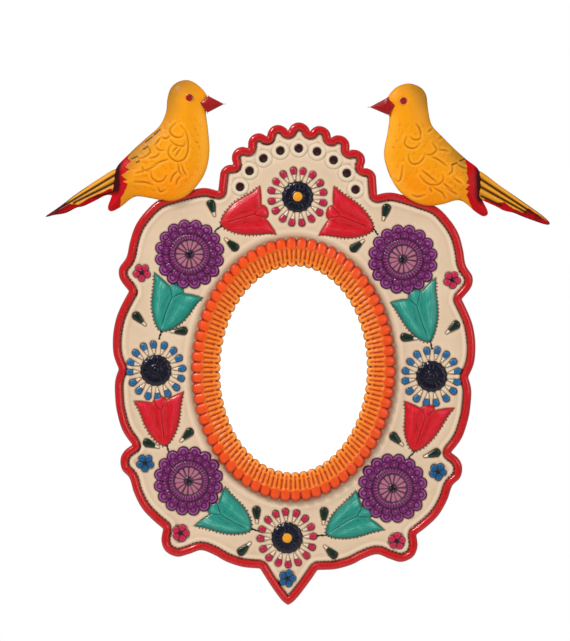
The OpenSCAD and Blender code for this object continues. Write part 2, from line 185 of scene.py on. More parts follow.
def filled(outline, step, rings=(), hollow=False, hole=None):
    """Points of a closed outline, of the lines that follow it inwards at the distances in rings, and of the
    grid inside them, with the triangles between them. A hollow one stops at its last ring."""
    ahead = np.roll(outline, -1, 0) - outline
    if (outline[:, 0] * np.roll(outline[:, 1], -1) - outline[:, 1] * np.roll(outline[:, 0], -1)).sum() < 0:
        outline = outline[::-1]
        ahead = np.roll(outline, -1, 0) - outline
    heading = np.unwrap(np.arctan2(ahead[:, 1], ahead[:, 0]))
    before = np.roll(heading, 1)
    turn = (heading - before + math.pi) % (2 * math.pi) - math.pi
    points = [outline]
    for r in rings:
        line = []
        for q, a, t in zip(outline, heading, turn):
            fan = [a - t / 2] if abs(t) * r < step else np.linspace(a - t, a, 2 + int(abs(t) * r / step))
            line += [(q[0] - r * math.sin(b), q[1] + r * math.cos(b)) for b in fan]
        line = np.array(line)
        distance, _ = edge_distance(line, outline)
        points.append(line[np.abs(distance - r) < 0.04 + 0.02 * r])
    if not hollow:
        low, high = outline.min(0), outline.max(0)
        x = np.arange(low[0], high[0], step)
        rows = np.arange(low[1], high[1], step * 0.866)
        grid = np.concatenate([np.stack([x + (i % 2) * step / 2, np.full(len(x), z)], -1) for i,
                               z in enumerate(rows)])
        last = rings[-1] if len(rings) else 0
        distance, _ = edge_distance(grid, outline)
        grid = grid[distance > last + 0.5 * step]
        if hole is not None:
            grid = grid[edge_distance(grid, hole)[0] < -0.5 * step]
            points.insert(1, hole)
        points.append(grid)
    p = np.vstack(points)
    n = len(outline)
    edges = [] if hole is None else [(n + i, n + (i + 1) % len(hole)) for i in range(len(hole))]
    verts, _, faces, *_ = delaunay_2d_cdt([Vector(q) for q in p], edges, [list(range(n))], 1, 1e-6)
    verts, faces = np.array([tuple(v) for v in verts]), np.array([tuple(f) for f in faces if len(f) == 3])
    middle = verts[faces].mean(1)
    if hollow:
        faces = faces[edge_distance(middle, outline)[0] < rings[-1]]
    if hole is not None:
        faces = faces[edge_distance(middle, hole)[0] < 0]
    return verts, faces


def border(faces):
    """Edges that only one of the triangles has."""
    seen = {}
    for a, b, c in faces.tolist():
        for edge in ((a, b), (b, c), (c, a)):
            if seen.pop(edge[::-1], None) is None:
                seen[edge] = True
    return list(seen)


def hollows(faces, height, rounds):
    """How far each point stands above the surface around it: below 0 in grooves and above 0 on ridges."""
    a = faces[:, [0, 1, 2]].reshape(-1)
    b = faces[:, [1, 2, 0]].reshape(-1)
    count = np.bincount(a, minlength=len(height)) + np.bincount(b, minlength=len(height))
    mean = height
    for _ in range(rounds):
        total = np.bincount(a, mean[b], len(height)) + np.bincount(b, mean[a], len(height))
        mean = total / np.maximum(count, 1)
    return height - mean


# ---------------------------------------------------------------- mesh making


def waves(p):
    """Soft dents of sheet metal worked by hand."""
    x, z = p[:, 0], p[:, 1]
    return 0.16 * np.sin(x / 17 + 1.3 * np.sin(z / 23)) + 0.14 * np.sin(z / 13 + 0.9 * np.sin(x / 19)) \
        + 0.05 * np.sin(x / 5.1 + z / 6.3) * np.sin(z / 4.3 - x / 7.7)


def skin(outline, relief, step, base=FACE, skirt=0.45, rings=(), hollow=False, hole=None, back=False,
         wash=1.5,
         smoothing=6, follow=True):
    """Points, triangles and paint fields of a skin over an outline. relief(points, distance from the edge,
    run along the edge) gives its height above the base and its fields. The field tone is 0.5 on plain ground,
    less in grooves. A skin that follows the sheet has its dents too."""
    outline = even(np.asarray(outline, float), step)
    p, faces = filled(outline, step, rings, hollow, hole)
    inside, run = edge_distance(p, outline)
    inside = np.maximum(inside, 0)
    height, fields = relief(p, inside, run)
    if follow:
        height = height + waves(p)
    fields = {k: np.broadcast_to(np.asarray(v, float), height.shape) for k, v in fields.items()}
    shade = 0.5 + wash * hollows(faces, height, smoothing)
    fields["tone"] = shade + fields.get("tone", 0)
    fields["edge"] = inside
    verts = np.stack([p[:, 0], -(base + height), p[:, 1]], -1)
    faces = faces[:, ::-1] if back else faces
    faces = faces.tolist()
    if skirt:
        around = [e for e in border(np.array(faces)) if inside[e[0]] < 1e-3 and inside[e[1]] < 1e-3]
        low = {}
        for a in {v for e in around for v in e}:
            low[a] = len(verts) + len(low)
        keys = list(low)
        verts = np.vstack([verts, verts[keys] + (0, -skirt if back else skirt, 0)])
        fields = {k: np.r_[v, v[keys]] for k, v in fields.items()}
        faces += [(b, a, low[a], low[b]) for a, b in around]
    return verts, faces, fields


def only(verts, faces, fields, keep):
    """The faces to keep, with the points that they use."""
    faces = np.array(faces)[keep]
    used, index = np.unique(faces, return_inverse=True)
    return verts[used], index.reshape(faces.shape).tolist(), {k: v[used] for k, v in fields.items()}


def joined(parts):
    """Several skins as one."""
    verts, faces, fields = [], [], {}
    start = 0
    for v, f, values in parts:
        verts.append(v)
        faces += [tuple(i + start for i in face) for face in f]
        for k, value in values.items():
            fields.setdefault(k, []).append(value)
        start += len(v)
    return np.vstack(verts), faces, {k: np.concatenate(v) for k, v in fields.items()}


def make(name, verts, faces, fields, material, slot="painted_sheet", replaces=()):
    """A shown piece from points in millimetres (x, y, z)."""
    mesh = bpy.data.meshes.new(name)
    mesh.from_pydata((np.asarray(verts) * MM).tolist(), [], faces)
    for key, values in fields.items():
        layer = mesh.attributes.new(key, "FLOAT", "POINT").data
        layer.foreach_set("value", np.ascontiguousarray(values, np.float32))
    mesh.materials.append(material)
    mesh.update()
    mesh.shade_smooth()
    piece = bpy.data.objects.new(name, mesh)
    bpy.context.collection.objects.link(piece)
    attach(piece, BODY)
    if replaces:
        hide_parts(*replaces)
    return piece


def grid_faces(n, m):
    """Faces of a closed band of points, n around and m across."""
    i, j = np.meshgrid(np.arange(n), np.arange(m - 1), indexing="ij")
    a, b = i * m + j, ((i + 1) % n) * m + j
    return np.stack([a, a + 1, b + 1, b], -1).reshape(-1, 4).tolist()


# ---------------------------------------------------------------- materials


def linear(code):
    """Linear colour of a hex code."""
    c = np.array([int(code[k:k + 2], 16) / 255 for k in (0, 2, 4)])
    return (*np.where(c <= 0.04045, c / 12.92, ((c + 0.055) / 1.055) ** 2.4), 1.0)


class Nodes:
    """Short ways to add shader nodes to one material."""

    def __init__(self, name):
        self.material = bpy.data.materials.new(name)
        self.material.use_nodes = True
        self.tree = self.material.node_tree
        self.tree.nodes.clear()
        self.out = self.tree.nodes.new("ShaderNodeOutputMaterial")
        self.place = self.tree.nodes.new("ShaderNodeTexCoord").outputs["Object"]

    def link(self, value, socket):
        """Joins an output to the socket, or sets the socket to a number or to the colour of a hex code."""
        if isinstance(value, bpy.types.NodeSocket):
            self.tree.links.new(value, socket)
        else:
            socket.default_value = linear(value) if isinstance(value, str) else value

    def math(self, kind, a, b=0.0, clamp=False):
        node = self.tree.nodes.new("ShaderNodeMath")
        node.operation = kind
        node.use_clamp = clamp
        self.link(a, node.inputs[0])
        self.link(b, node.inputs[1])
        return node.outputs[0]

    def varied(self, value, noise, amount, clamp=False):
        """The value with the noise, taken about its middle, added to it."""
        return self.math("ADD", value, self.math("MULTIPLY", self.math("SUBTRACT", noise, 0.5), amount),
                         clamp)

    def spread(self, value, low, high):
        """From low to high over the middle part of the noise."""
        return self.ramp(value, [(0.3, low), (0.7, high)])

    def field(self, name):
        node = self.tree.nodes.new("ShaderNodeAttribute")
        node.attribute_name = name
        return node.outputs["Fac"]

    def noise(self, scale, detail=3.0, rough=0.55, stretch=None, warp=0.0):
        place = self.place
        if stretch:
            mapping = self.tree.nodes.new("ShaderNodeMapping")
            mapping.inputs["Rotation"].default_value = (0, math.radians(stretch[1]), 0)
            mapping.inputs["Scale"].default_value = (1, 1, stretch[0])
            self.link(place, mapping.inputs["Vector"])
            place = mapping.outputs[0]
        node = self.tree.nodes.new("ShaderNodeTexNoise")
        node.inputs["Scale"].default_value = scale
        node.inputs["Detail"].default_value = detail
        node.inputs["Roughness"].default_value = rough
        node.inputs["Distortion"].default_value = warp
        self.link(place, node.inputs["Vector"])
        return node.outputs["Fac"]

    def ramp(self, value, stops):
        node = self.tree.nodes.new("ShaderNodeValToRGB")
        marks = node.color_ramp.elements
        while len(marks) < len(stops):
            marks.new(0.5)
        for mark, (at, colour) in zip(marks, stops):
            mark.position = at
            mark.color = linear(colour) if isinstance(colour, str) else (colour, colour, colour, 1)
        self.link(value, node.inputs[0])
        return node.outputs[0]

    def mix(self, fac, a, b):
        node = self.tree.nodes.new("ShaderNodeMix")
        node.data_type = "RGBA"
        self.link(fac, node.inputs[0])
        self.link(a, node.inputs[6])
        self.link(b, node.inputs[7])
        return node.outputs[2]

    def step(self, value, at, soft):
        """0 below at and 1 above it, over a width of soft."""
        node = self.tree.nodes.new("ShaderNodeMapRange")
        node.interpolation_type = "SMOOTHSTEP"
        node.inputs["From Min"].default_value = at - soft / 2
        node.inputs["From Max"].default_value = at + soft / 2
        self.link(value, node.inputs["Value"])
        return node.outputs[0]

    def bump(self, height, distance, normal=None):
        node = self.tree.nodes.new("ShaderNodeBump")
        node.inputs["Distance"].default_value = distance
        self.link(height, node.inputs["Height"])
        if normal is not None:
            self.link(normal, node.inputs["Normal"])
        return node.outputs[0]

    def finish(self, colour, roughness, normal=None, metallic=0.0, coat=0.0, coat_rough=0.08, specular=0.32):
        shader = self.tree.nodes.new("ShaderNodeBsdfPrincipled")
        self.link(colour, shader.inputs["Base Color"])
        self.link(roughness, shader.inputs["Roughness"])
        self.link(metallic, shader.inputs["Metallic"])
        shader.inputs["Coat Weight"].default_value = coat
        shader.inputs["Coat Roughness"].default_value = coat_rough
        shader.inputs["Specular IOR Level"].default_value = specular
        if normal is not None:
            self.link(normal, shader.inputs["Normal"])
        self.tree.links.new(shader.outputs[0], self.out.inputs["Surface"])
        return self.material


def enamel(name, stops, brush, coat, rough):
    """Hand-brushed gloss enamel. The field tone runs from 0 in grooves to 1 on ridges."""
    n = Nodes(name)
    strokes = n.noise(700, 4, 0.6, warp=0.4)
    blotch = n.noise(90, 2)
    tone = n.varied(n.field("tone"), strokes, brush * 1.6)
    tone = n.varied(tone, blotch, brush, clamp=True)
    colour = n.ramp(tone, stops)
    roughness = n.spread(n.noise(260, 3), rough[0], rough[1])
    normal = n.bump(strokes, 0.00006, n.bump(n.noise(1500, 2), 0.00004))
    return n.finish(colour, roughness, normal, coat=coat, coat_rough=0.07)


def cream_enamel():
    """The ground of the sheet, with brown antiquing in its pressed lines, painted shade beside the rim and the
    ring of lobes, and chisel marks along the rim.
    """
    n = Nodes("cream_enamel")
    speck = n.noise(900, 4, 0.65)
    cloud = n.noise(26, 3)
    tone = n.varied(n.field("tone"), cloud, 0.2)
    tone = n.varied(tone, speck, 0.14, clamp=True)
    colour = n.ramp(tone, [(0.0, "4A3020"), (0.22, "98765A"), (0.4, "D4B898"), (0.58, "E6CBAE"),
                           (1.0, "F3E0CA")])
    pores = n.step(n.noise(2400, 2, 0.5), 0.735, 0.03)
    colour = n.mix(n.math("MULTIPLY", pores, 0.35), colour, "7A5B3C")
    # short chisel cuts beside the rim, dark red: the rim's red paint run into them, with painted shade in the
    # cuts
    beat = n.math("FRACT", n.math("DIVIDE", n.field("run"), 2.3))
    cut = n.math("MULTIPLY", n.step(n.math("PINGPONG", beat, 0.5), 0.4, 0.08),
                 n.step(n.field("rim"), 1.15, -0.4))
    cut = n.math("MULTIPLY", cut, n.step(n.noise(40, 1), 0.5, 0.12))
    colour = n.mix(n.math("MULTIPLY", cut, 0.85), colour, "5A1512")
    roughness = n.spread(n.noise(180, 3), 0.3, 0.5)
    normal = n.bump(n.math("SUBTRACT", speck, n.math("MULTIPLY", cut, 4.0)), 0.00005, n.bump(cloud, 0.0012))
    return n.finish(colour, roughness, normal, coat=0.15, coat_rough=0.12)


def tinplate():
    """Bare rolled tinplate: fine rolling lines, dull patches of flux, and a little rust."""
    n = Nodes("tinplate")
    lines = n.noise(900, 3, 0.6, (0.03, 0))
    patches = n.noise(38, 4, 0.6)
    colour = n.ramp(n.math("ADD", n.math("MULTIPLY", lines, 0.45), n.math("MULTIPLY", patches, 0.55)),
                    [(0.3, "7E7F7D"), (0.5, "A3A4A1"), (0.7, "C3C4C0")])
    rusty = n.step(n.noise(130, 5, 0.7), 0.69, 0.06)
    colour = n.mix(n.math("MULTIPLY", rusty, RUST), colour, "6B3B1E")
    roughness = n.spread(patches, 0.28, 0.5)
    roughness = n.math("ADD", roughness, n.math("MULTIPLY", rusty, 0.3), clamp=True)
    metallic = n.math("SUBTRACT", 1.0, n.math("MULTIPLY", rusty, RUST))
    normal = n.bump(lines, 0.00002, n.bump(patches, 0.0003))
    return n.finish(colour, roughness, normal, metallic)


def banded(name, bands, groove, ridge, wobble=0.25, wash=1.0):
    """Enamel whose colour changes with the radius in millimetres: bands are (up to this value, colour).
    Grooves go towards one colour and ridges towards another."""
    n = Nodes(name)
    strokes = n.noise(650, 4, 0.6)
    at = n.varied(n.field("radius"), n.noise(420, 2), wobble * 2)
    colour = bands[0][1]
    for (edge, _), (_, following) in zip(bands, bands[1:]):
        colour = n.mix(n.step(at, edge, 0.16), colour, following)
    tone = n.varied(n.field("tone"), strokes, 0.22)
    low = n.math("MULTIPLY", n.ramp(tone, [(0.05, 1.0), (0.42, 0.0)]), wash)
    high = n.math("MULTIPLY", n.ramp(tone, [(0.62, 0.0), (1.1, 1.0)]), wash)
    colour = n.mix(low, colour, groove)
    colour = n.mix(n.math("MULTIPLY", high, 0.6), colour, ridge)
    roughness = n.spread(n.noise(260, 3), 0.22, 0.38)
    normal = n.bump(strokes, 0.00005, n.bump(n.noise(1500, 2), 0.00004))
    return n.finish(colour, roughness, normal, coat=0.25)


def dipped(name, paint, ground="D3BB9A", ink="2A1B12"):
    """A raised drop with a painted head: the field head is the distance into the paint, in millimetres."""
    n = Nodes(name)
    strokes = n.noise(700, 4, 0.6)
    head = n.varied(n.field("head"), n.noise(500, 2), 0.7)
    tone = n.varied(n.field("tone"), strokes, 0.3, clamp=True)
    cream = n.ramp(tone, [(0.0, "8A6A48"), (0.36, "C4A988"), (0.5, ground), (0.8, "F0E3CE")])
    glaze = n.ramp(tone, [(0.1, ink), (0.4, paint[0]), (0.7, paint[1])])
    colour = n.mix(n.step(head, 0.0, 0.18), cream, glaze)
    lined = n.math("SUBTRACT", 1.0, n.step(n.math("ABSOLUTE", n.math("SUBTRACT", head, 0.05)), 0.3, 0.25))
    lined = n.math("MULTIPLY", lined, n.step(n.noise(120, 1), 0.42, 0.15))
    colour = n.mix(n.math("MULTIPLY", lined, 0.85), colour, ink)
    roughness = n.spread(n.noise(260, 3), 0.22, 0.4)
    normal = n.bump(strokes, 0.00006, n.bump(n.noise(1500, 2), 0.00004))
    return n.finish(colour, roughness, normal, coat=0.25)


def tulip_paint(name, dark, mid, light, edge):
    """Two petals brushed lengthwise: the field streak runs across the strokes and length along them."""
    n = Nodes(name)
    place = n.tree.nodes.new("ShaderNodeCombineXYZ")
    n.link(n.math("MULTIPLY", n.field("streak"), 9.0), place.inputs[0])
    n.link(n.math("MULTIPLY", n.field("length"), 1.1), place.inputs[1])
    strokes = n.tree.nodes.new("ShaderNodeTexNoise")
    strokes.inputs["Scale"].default_value = 1.6
    strokes.inputs["Detail"].default_value = 4
    n.link(place.outputs[0], strokes.inputs["Vector"])
    strokes = strokes.outputs["Fac"]
    fine = n.noise(900, 3)
    tone = n.varied(n.field("tone"), strokes, 0.85)
    tone = n.varied(tone, fine, 0.1, clamp=True)
    colour = n.ramp(tone, [(0.08, dark), (0.42, mid), (0.62, mid), (0.85, light)])
    inside = n.step(n.varied(n.field("edge"), n.noise(200, 2), 2.0), 1.9, 2.6)
    colour = n.mix(inside, edge, colour)
    seam = n.math("SUBTRACT", 1.0, n.step(n.field("edge"), 0.28, 0.3))
    colour = n.mix(n.math("MULTIPLY", seam, 0.75), colour, dark)
    roughness = n.spread(n.noise(200, 3), 0.24, 0.42)
    normal = n.bump(strokes, 0.0002, n.bump(fine, 0.00005))
    return n.finish(colour, roughness, normal, coat=0.22, coat_rough=0.12)


def bird_paint():
    """Golden lacquer, olive over the back and orange under the belly, with a red rump."""
    n = Nodes("bird_gold")
    cloud = n.noise(60, 3)
    fine = n.noise(520, 4, 0.6)
    across = n.varied(n.field("back"), cloud, 0.5, clamp=True)
    colour = n.ramp(across, [(0.0, "F29A08"), (0.3, "EA9614"), (0.62, "D28A1C"), (1.0, "A87018")])
    low = n.varied(n.field("belly"), cloud, 0.35, clamp=True)
    colour = n.mix(n.math("MULTIPLY", low, 0.75), colour, "FA8C00")
    colour = n.mix(n.field("light"), colour, "FFB232")
    tone = n.varied(n.field("tone"), fine, 0.16)
    colour = n.mix(n.ramp(tone, [(0.1, 0.85), (0.42, 0.0)]), colour, "96560C")
    colour = n.mix(n.ramp(tone, [(0.6, 0.0), (1.0, 0.5)]), colour, "FFC44A")
    red = n.varied(n.field("red"), n.noise(330, 3), 1.6)
    shade = n.varied(n.field("dark"), n.noise(240, 3, 0.6, (0.3, 40)), 0.9, clamp=True)
    colour = n.mix(n.step(red, 0.0, 0.6), colour, n.ramp(shade,
                                                         [(0.2, "BE0410"), (0.5, "9A020C"),
                                                          (0.85, "40040C")]))
    black = n.varied(n.field("ink"), fine, 0.5)
    colour = n.mix(n.math("MULTIPLY", n.step(black, 0.5, 0.5), 0.86), colour, "2A1408")
    roughness = n.spread(n.noise(180, 3), 0.3, 0.48)
    normal = n.bump(fine, 0.00006, n.bump(cloud, 0.0005))
    return n.finish(colour, roughness, normal, coat=0.03, coat_rough=0.2, specular=0.1)


def plain_paint(name, low, high, scale=500, coat=0.3, rough=(0.2, 0.35)):
    """One colour of enamel, with brush marks and a little unevenness."""
    n = Nodes(name)
    fine = n.noise(scale, 4, 0.6)
    tone = n.math("ADD", n.math("MULTIPLY", fine, 0.5), n.math("MULTIPLY", n.field("tone"), 0.5), clamp=True)
    colour = n.ramp(tone, [(0.3, low), (0.62, high)])
    return n.finish(colour, n.spread(n.noise(260, 3), rough[0], rough[1]), n.bump(fine, 0.00006), coat=coat)


def mirror_silver():
    """Silvered glass with a clear front and faint wipe marks."""
    n = Nodes("mirror_silver")
    haze = n.noise(45, 4, 0.6, (0.4, 25))
    roughness = n.ramp(haze, [(0.4, 0.004), (0.7, 0.03)])
    colour = n.spread(n.noise(12, 2), "F4F6F6", "FBFCFC")
    return n.finish(colour, roughness, n.bump(n.noise(6, 1), 0.00002), metallic=1.0, coat=0.4,
                    coat_rough=0.01)


def brown_card():
    """Grey-brown packing card, seen only at its edge."""
    n = Nodes("brown_card")
    fibre = n.noise(1400, 5, 0.7, (0.3, 0))
    colour = n.ramp(fibre, [(0.3, "6F5534"), (0.55, "9A7B50"), (0.75, "B8986A")])
    return n.finish(colour, n.spread(n.noise(90, 3), 0.78, 0.92), n.bump(fibre, 0.0001), specular=0.25)


# ---------------------------------------------------------------- outline of the sheet


def circle(middle, r, n):
    a = np.linspace(0, 2 * math.pi, n, endpoint=False)
    return np.stack([middle[0] + r * np.cos(a), middle[1] + r * np.sin(a)], -1)


def oval(w, h, n=220):
    a = np.linspace(0, 2 * math.pi, n, endpoint=False)
    return np.stack([w * np.cos(a), h * np.sin(a)], -1)


def mirrored_outline():
    """The outline of the frame, clockwise from the top of the crest."""
    gap = (CREST_R - LOBE_R) * math.sin(math.radians(LOBE_STEP / 2))
    valley = math.degrees(math.atan2(gap, math.sqrt(LOBE_R**2 - gap**2))) + LOBE_STEP / 2
    half = []
    for i, (start, stop) in enumerate([(0, -valley)] + [(valley, -valley)] * 3 + [(valley, -32)]):
        angle = 90 - i * LOBE_STEP
        middle = np.array((0, CREST_Z)) + turned((CREST_R - LOBE_R + 0.12 * i * i, 0), angle)
        half += [middle + turned((LOBE_R, 0), angle + start + (stop - start) * k / 12) for k in range(12)]
    half = np.vstack([half] + [curve(part, 8) for part in (SHOULDER, UPPER_SIDE, LOWER_SIDE, HIP, FOOT, TIP)])
    other = half[half[:, 0] > 0] * (-1, 1)
    return np.vstack([half, [TIP[-1]], other[::-1]])


OUTLINE = mirrored_outline()
HOLE = oval(OVAL_W - BEZEL_W + 3, OVAL_H - BEZEL_W + 3)

# ---------------------------------------------------------------- outlines of the motifs


def lobed(middle, r, lobe, count):
    """Circle of round lobes."""
    a = np.linspace(0, 2 * math.pi, count * 14, endpoint=False)
    local = (a * count / (2 * math.pi)) % 1 - 0.5
    reach = r - lobe
    t = local * 2 * math.pi / count
    out = reach * np.cos(t) + np.sqrt(np.maximum(lobe**2 - (reach * np.sin(t))**2, (0.25 * lobe)**2))
    return np.stack([middle[0] + out * np.cos(a), middle[1] + out * np.sin(a)], -1)


def teardrop(head, tail, r):
    """Outline of a drop: a round head of radius r that tapers to its tail."""
    head, tail = np.array(head, float), np.array(tail, float)
    run = np.linalg.norm(tail - head)
    a = math.degrees(math.atan2(*(tail - head)[::-1]))
    arc = [(r * math.cos(t), r * math.sin(t)) for t in np.radians(np.linspace(70, 290, 13))]
    side = [(run * 0.45, -r * 0.72), (run * 0.8, -r * 0.36), (run, -DROP_END), (run + DROP_END * 0.6, 0),
            (run, DROP_END), (run * 0.8, r * 0.36), (run * 0.45, r * 0.72)]
    return head + turned(closed(arc + side, 3), a)


def tulip_frame(tulip):
    """Base, the direction along the flower, and the one across it towards its left tip, both at size 1."""
    base, left, right, _ = (np.array(q, float) for q in tulip)
    middle = (left + right) / 2
    return base, middle - base, (left - right) / 2


def tulip_outline(tulip, bulge):
    base, along, across = tulip_frame(tulip)
    side = [(s, t * (1 + bulge * math.sin(math.pi * s))) for s, t in TULIP_SIDE]
    half = np.vstack([curve(side, 5), curve(TULIP_TOP, 4), curve(TULIP_BUD, 4), [TULIP_BUD[-1]]])
    other = half[1:-1] * (1, -1)
    shape = np.vstack([half, other[::-1]])
    return base + shape[:, :1] * along + shape[:, 1:] * across


def flower_outline(middle, turn):
    a = np.linspace(0, 2 * math.pi, 100, endpoint=False)
    t = ((a * 5 / (2 * math.pi)) % 1 - 0.5) * 2 * math.pi / 5
    out = 4.5 * np.cos(t) + np.sqrt(np.maximum(3.1**2 - (4.5 * np.sin(t))**2, 0.2))
    return np.array(middle) + turned(np.stack([out * np.cos(a), out * np.sin(a)], -1), turn)


def daisy_petals(middle, turn):
    """Head and tail of each of the 16 embossed petals around a daisy."""
    for k in range(16):
        a = math.radians(k * 22.5 + turn)
        way = np.array((math.cos(a), math.sin(a)))
        shift = chance.uniform(-0.4, 0.4, 2)
        yield np.array(middle) + way * 22.1 + shift, np.array(middle) + way * 14.6 + shift * 0.4


DAISIES = [(m, "pink", t) for m, t in zip(PINK_DAISIES, (11, 4))]
DAISIES += [(m, "blue", t) for m, t in zip(BLUE_DAISIES, (6, 12))]
PETALS = [(m, kind, list(daisy_petals(m, t))) for m, kind, t in DAISIES]
TULIPS = [(t, "red", 0.04 if i < 2 else 0.0) for i, t in enumerate(RED_TULIPS)]
TULIPS += [(t, "teal", 0.02) for t in TEAL_TULIPS]
DROP_SHAPES = [(np.array(m) - 2.2 * turned((1, 0), a), np.array(m) + 8.4 * turned((1, 0), a)) for m,
               a in DROPS]
CREST_DOTS = [np.array((0, DOT_Z)) + turned((DOT_R, 0), 90 + (i - 4) * LOBE_STEP) for i in range(9)]

# Each motif pressed out of the sheet: its outline, how far it stands out, and how wide its edge rounds
PRESSED = [(lobed(m, 28.7, 5.2, 16), 0.8, 3.0) for m in ROSETTES]
PRESSED += [(lobed(m, 12.8, 3.6, 16), 1.0, 3.0) for m, _, _ in DAISIES]
PRESSED += [(teardrop(h, t, 2.9), 0.8, 2.2) for _, _, petals in PETALS for h, t in petals]
PRESSED += [(tulip_outline(t, b), 1.1, 5.0) for t, _, b in TULIPS]
PRESSED += [(flower_outline(m, 90), 0.5, 2.4) for m in PINK_FLOWERS + BLUE_FLOWERS]
PRESSED += [(teardrop(h, t, 3.5), 0.9, 2.6) for h, t in DROP_SHAPES]
PRESSED += [(circle(m, 7.0, 40), 0.3, 2.5) for m in CREST_DOTS]


def near_motifs(p, reach):
    """For each motif: which points are near it, their distance into it, its height and its edge's width."""
    for outline, height, width in PRESSED:
        low, high = outline.min(0) - reach, outline.max(0) + reach
        pick = np.where(((p > low) & (p < high)).all(1))[0]
        if len(pick):
            yield pick, edge_distance(p[pick], outline)[0], height, width


def ground(p, inside, run):
    """The plain ground between the motifs. The field under is how far below a motif or the rim a point lies."""
    height = np.zeros(len(p))
    shade = np.zeros(len(p))
    under = RIM_W + 0.5 - inside
    for pick, d, tall, _ in near_motifs(p, 4):
        out = np.maximum(-d, 0)
        under[pick] = np.maximum(under[pick], d)
        height[pick] -= 0.25 * np.exp(-(out / 1.1) ** 2) + 0.1 * smooth(-0.3, 0.8, d)
        shade[pick] -= 0.30 * min(1, tall / 0.8) * np.exp(-(out / 0.55) ** 2)
    height += 0.5 * bump(inside - RIM_W - 2.6, 1.8) - 0.35 * bump(inside - RIM_W - 0.3, 1.0)
    hole = edge_distance(p, HOLE)[0]
    height += 0.35 * bump(hole + BEZEL_W + 1.5, 2.0)
    # painted shade on the ground just inside the rim and around the ring of lobes
    shade -= 0.14 * bump(inside - RIM_W - 0.1, 0.8) + 0.2 * bump(hole + BEZEL_W - 3.5, 2.0)
    return height, {"tone": shade, "rim": inside - RIM_W, "run": run, "under": under}


def reverse(p, inside, run):
    """The back of the same sheet, where everything pressed out of it is a hollow."""
    t = np.clip(inside / (RIM_W - 1.4), 0, 1)
    height = RIM_H * 0.85 * np.maximum(1 - (2 * t - 1) ** 2, 0) ** 0.6
    for pick, d, tall, width in near_motifs(p, 1):
        height[pick] += tall * np.sqrt(1 - (1 - np.clip((d - 1.6) / width, 0, 1)) ** 2)
    return height, {}


def rim(p, inside, run):
    """Half-round red border, a little uneven as beaten over a form."""
    t = inside / RIM_W
    beaten = 1 + 0.04 * np.sin(run / 9.7) + 0.03 * np.sin(run / 4.1)
    round_top = RIM_H * beaten * np.maximum(1 - (2 * t - 1) ** 2, 0) ** 0.5
    height = np.where(t <= 1, round_top, -0.25 * smooth(1, 1.12, t))
    # painted highlight along the crown of the bead and painted shade along its inner seam
    wear_and_painted_sheen = 0.18 * smooth(0.1, 0.4, t) * smooth(1.0, 0.75, t) - 0.3 * smooth(0.86, 1.0, t)
    return height - 0.1, {"tone": wear_and_painted_sheen}


# ---------------------------------------------------------------- the sheet and its rim

CREAM = cream_enamel()
RED_RIM = enamel("rim_red", [(0.05, "480002"), (0.35, "920004"), (0.6, "BC0008"), (1.0, "DC0A14")], brush=0.2,
                 coat=0.5, rough=(0.18, 0.32))
TIN_BARE = tinplate()
RIM_RINGS = [0.15, 0.45, 0.9, 1.5, 2.2, 2.9, 3.6, 4.3, 5.0, 5.6, 6.05, 6.35, 6.6, 7.1]

verts, faces, fields = skin(OUTLINE, ground, 1.25, hole=HOLE, skirt=0, wash=0.9, smoothing=3)
under = fields.pop("under")
make("sheet_front", *only(verts, faces, fields, [min(under[list(face)]) < 0.9 for face in faces]), CREAM,
     replaces=["face_sheet"])
back_hole = oval(OVAL_W - BEZEL_W + 3, OVAL_H - BEZEL_W + 3, 160)
make("sheet_back", *skin(OUTLINE, reverse, 1.6, base=SHEET_BACK, hole=back_hole, skirt=0, back=True,
                         smoothing=2),
     TIN_BARE, replaces=["face_sheet"])
make("rim_bead", *skin(OUTLINE, rim, 1.0, rings=RIM_RINGS, hollow=True, skirt=TIN, wash=0.3, smoothing=2),
     RED_RIM, replaces=["face_sheet"])

# ---------------------------------------------------------------- rosettes, daisies and small flowers


def polar(p, middle):
    v = p - np.array(middle)
    return np.hypot(v[:, 0], v[:, 1]), np.arctan2(v[:, 1], v[:, 0])


def sector(angle, count, phase=0.0):
    """Angle from the middle of the nearest of count sectors."""
    return ((angle * count / (2 * math.pi) + phase) % 1 - 0.5) * 2 * math.pi / count


def cap(x):
    return np.sqrt(np.clip(1 - x**2, 0, 1))


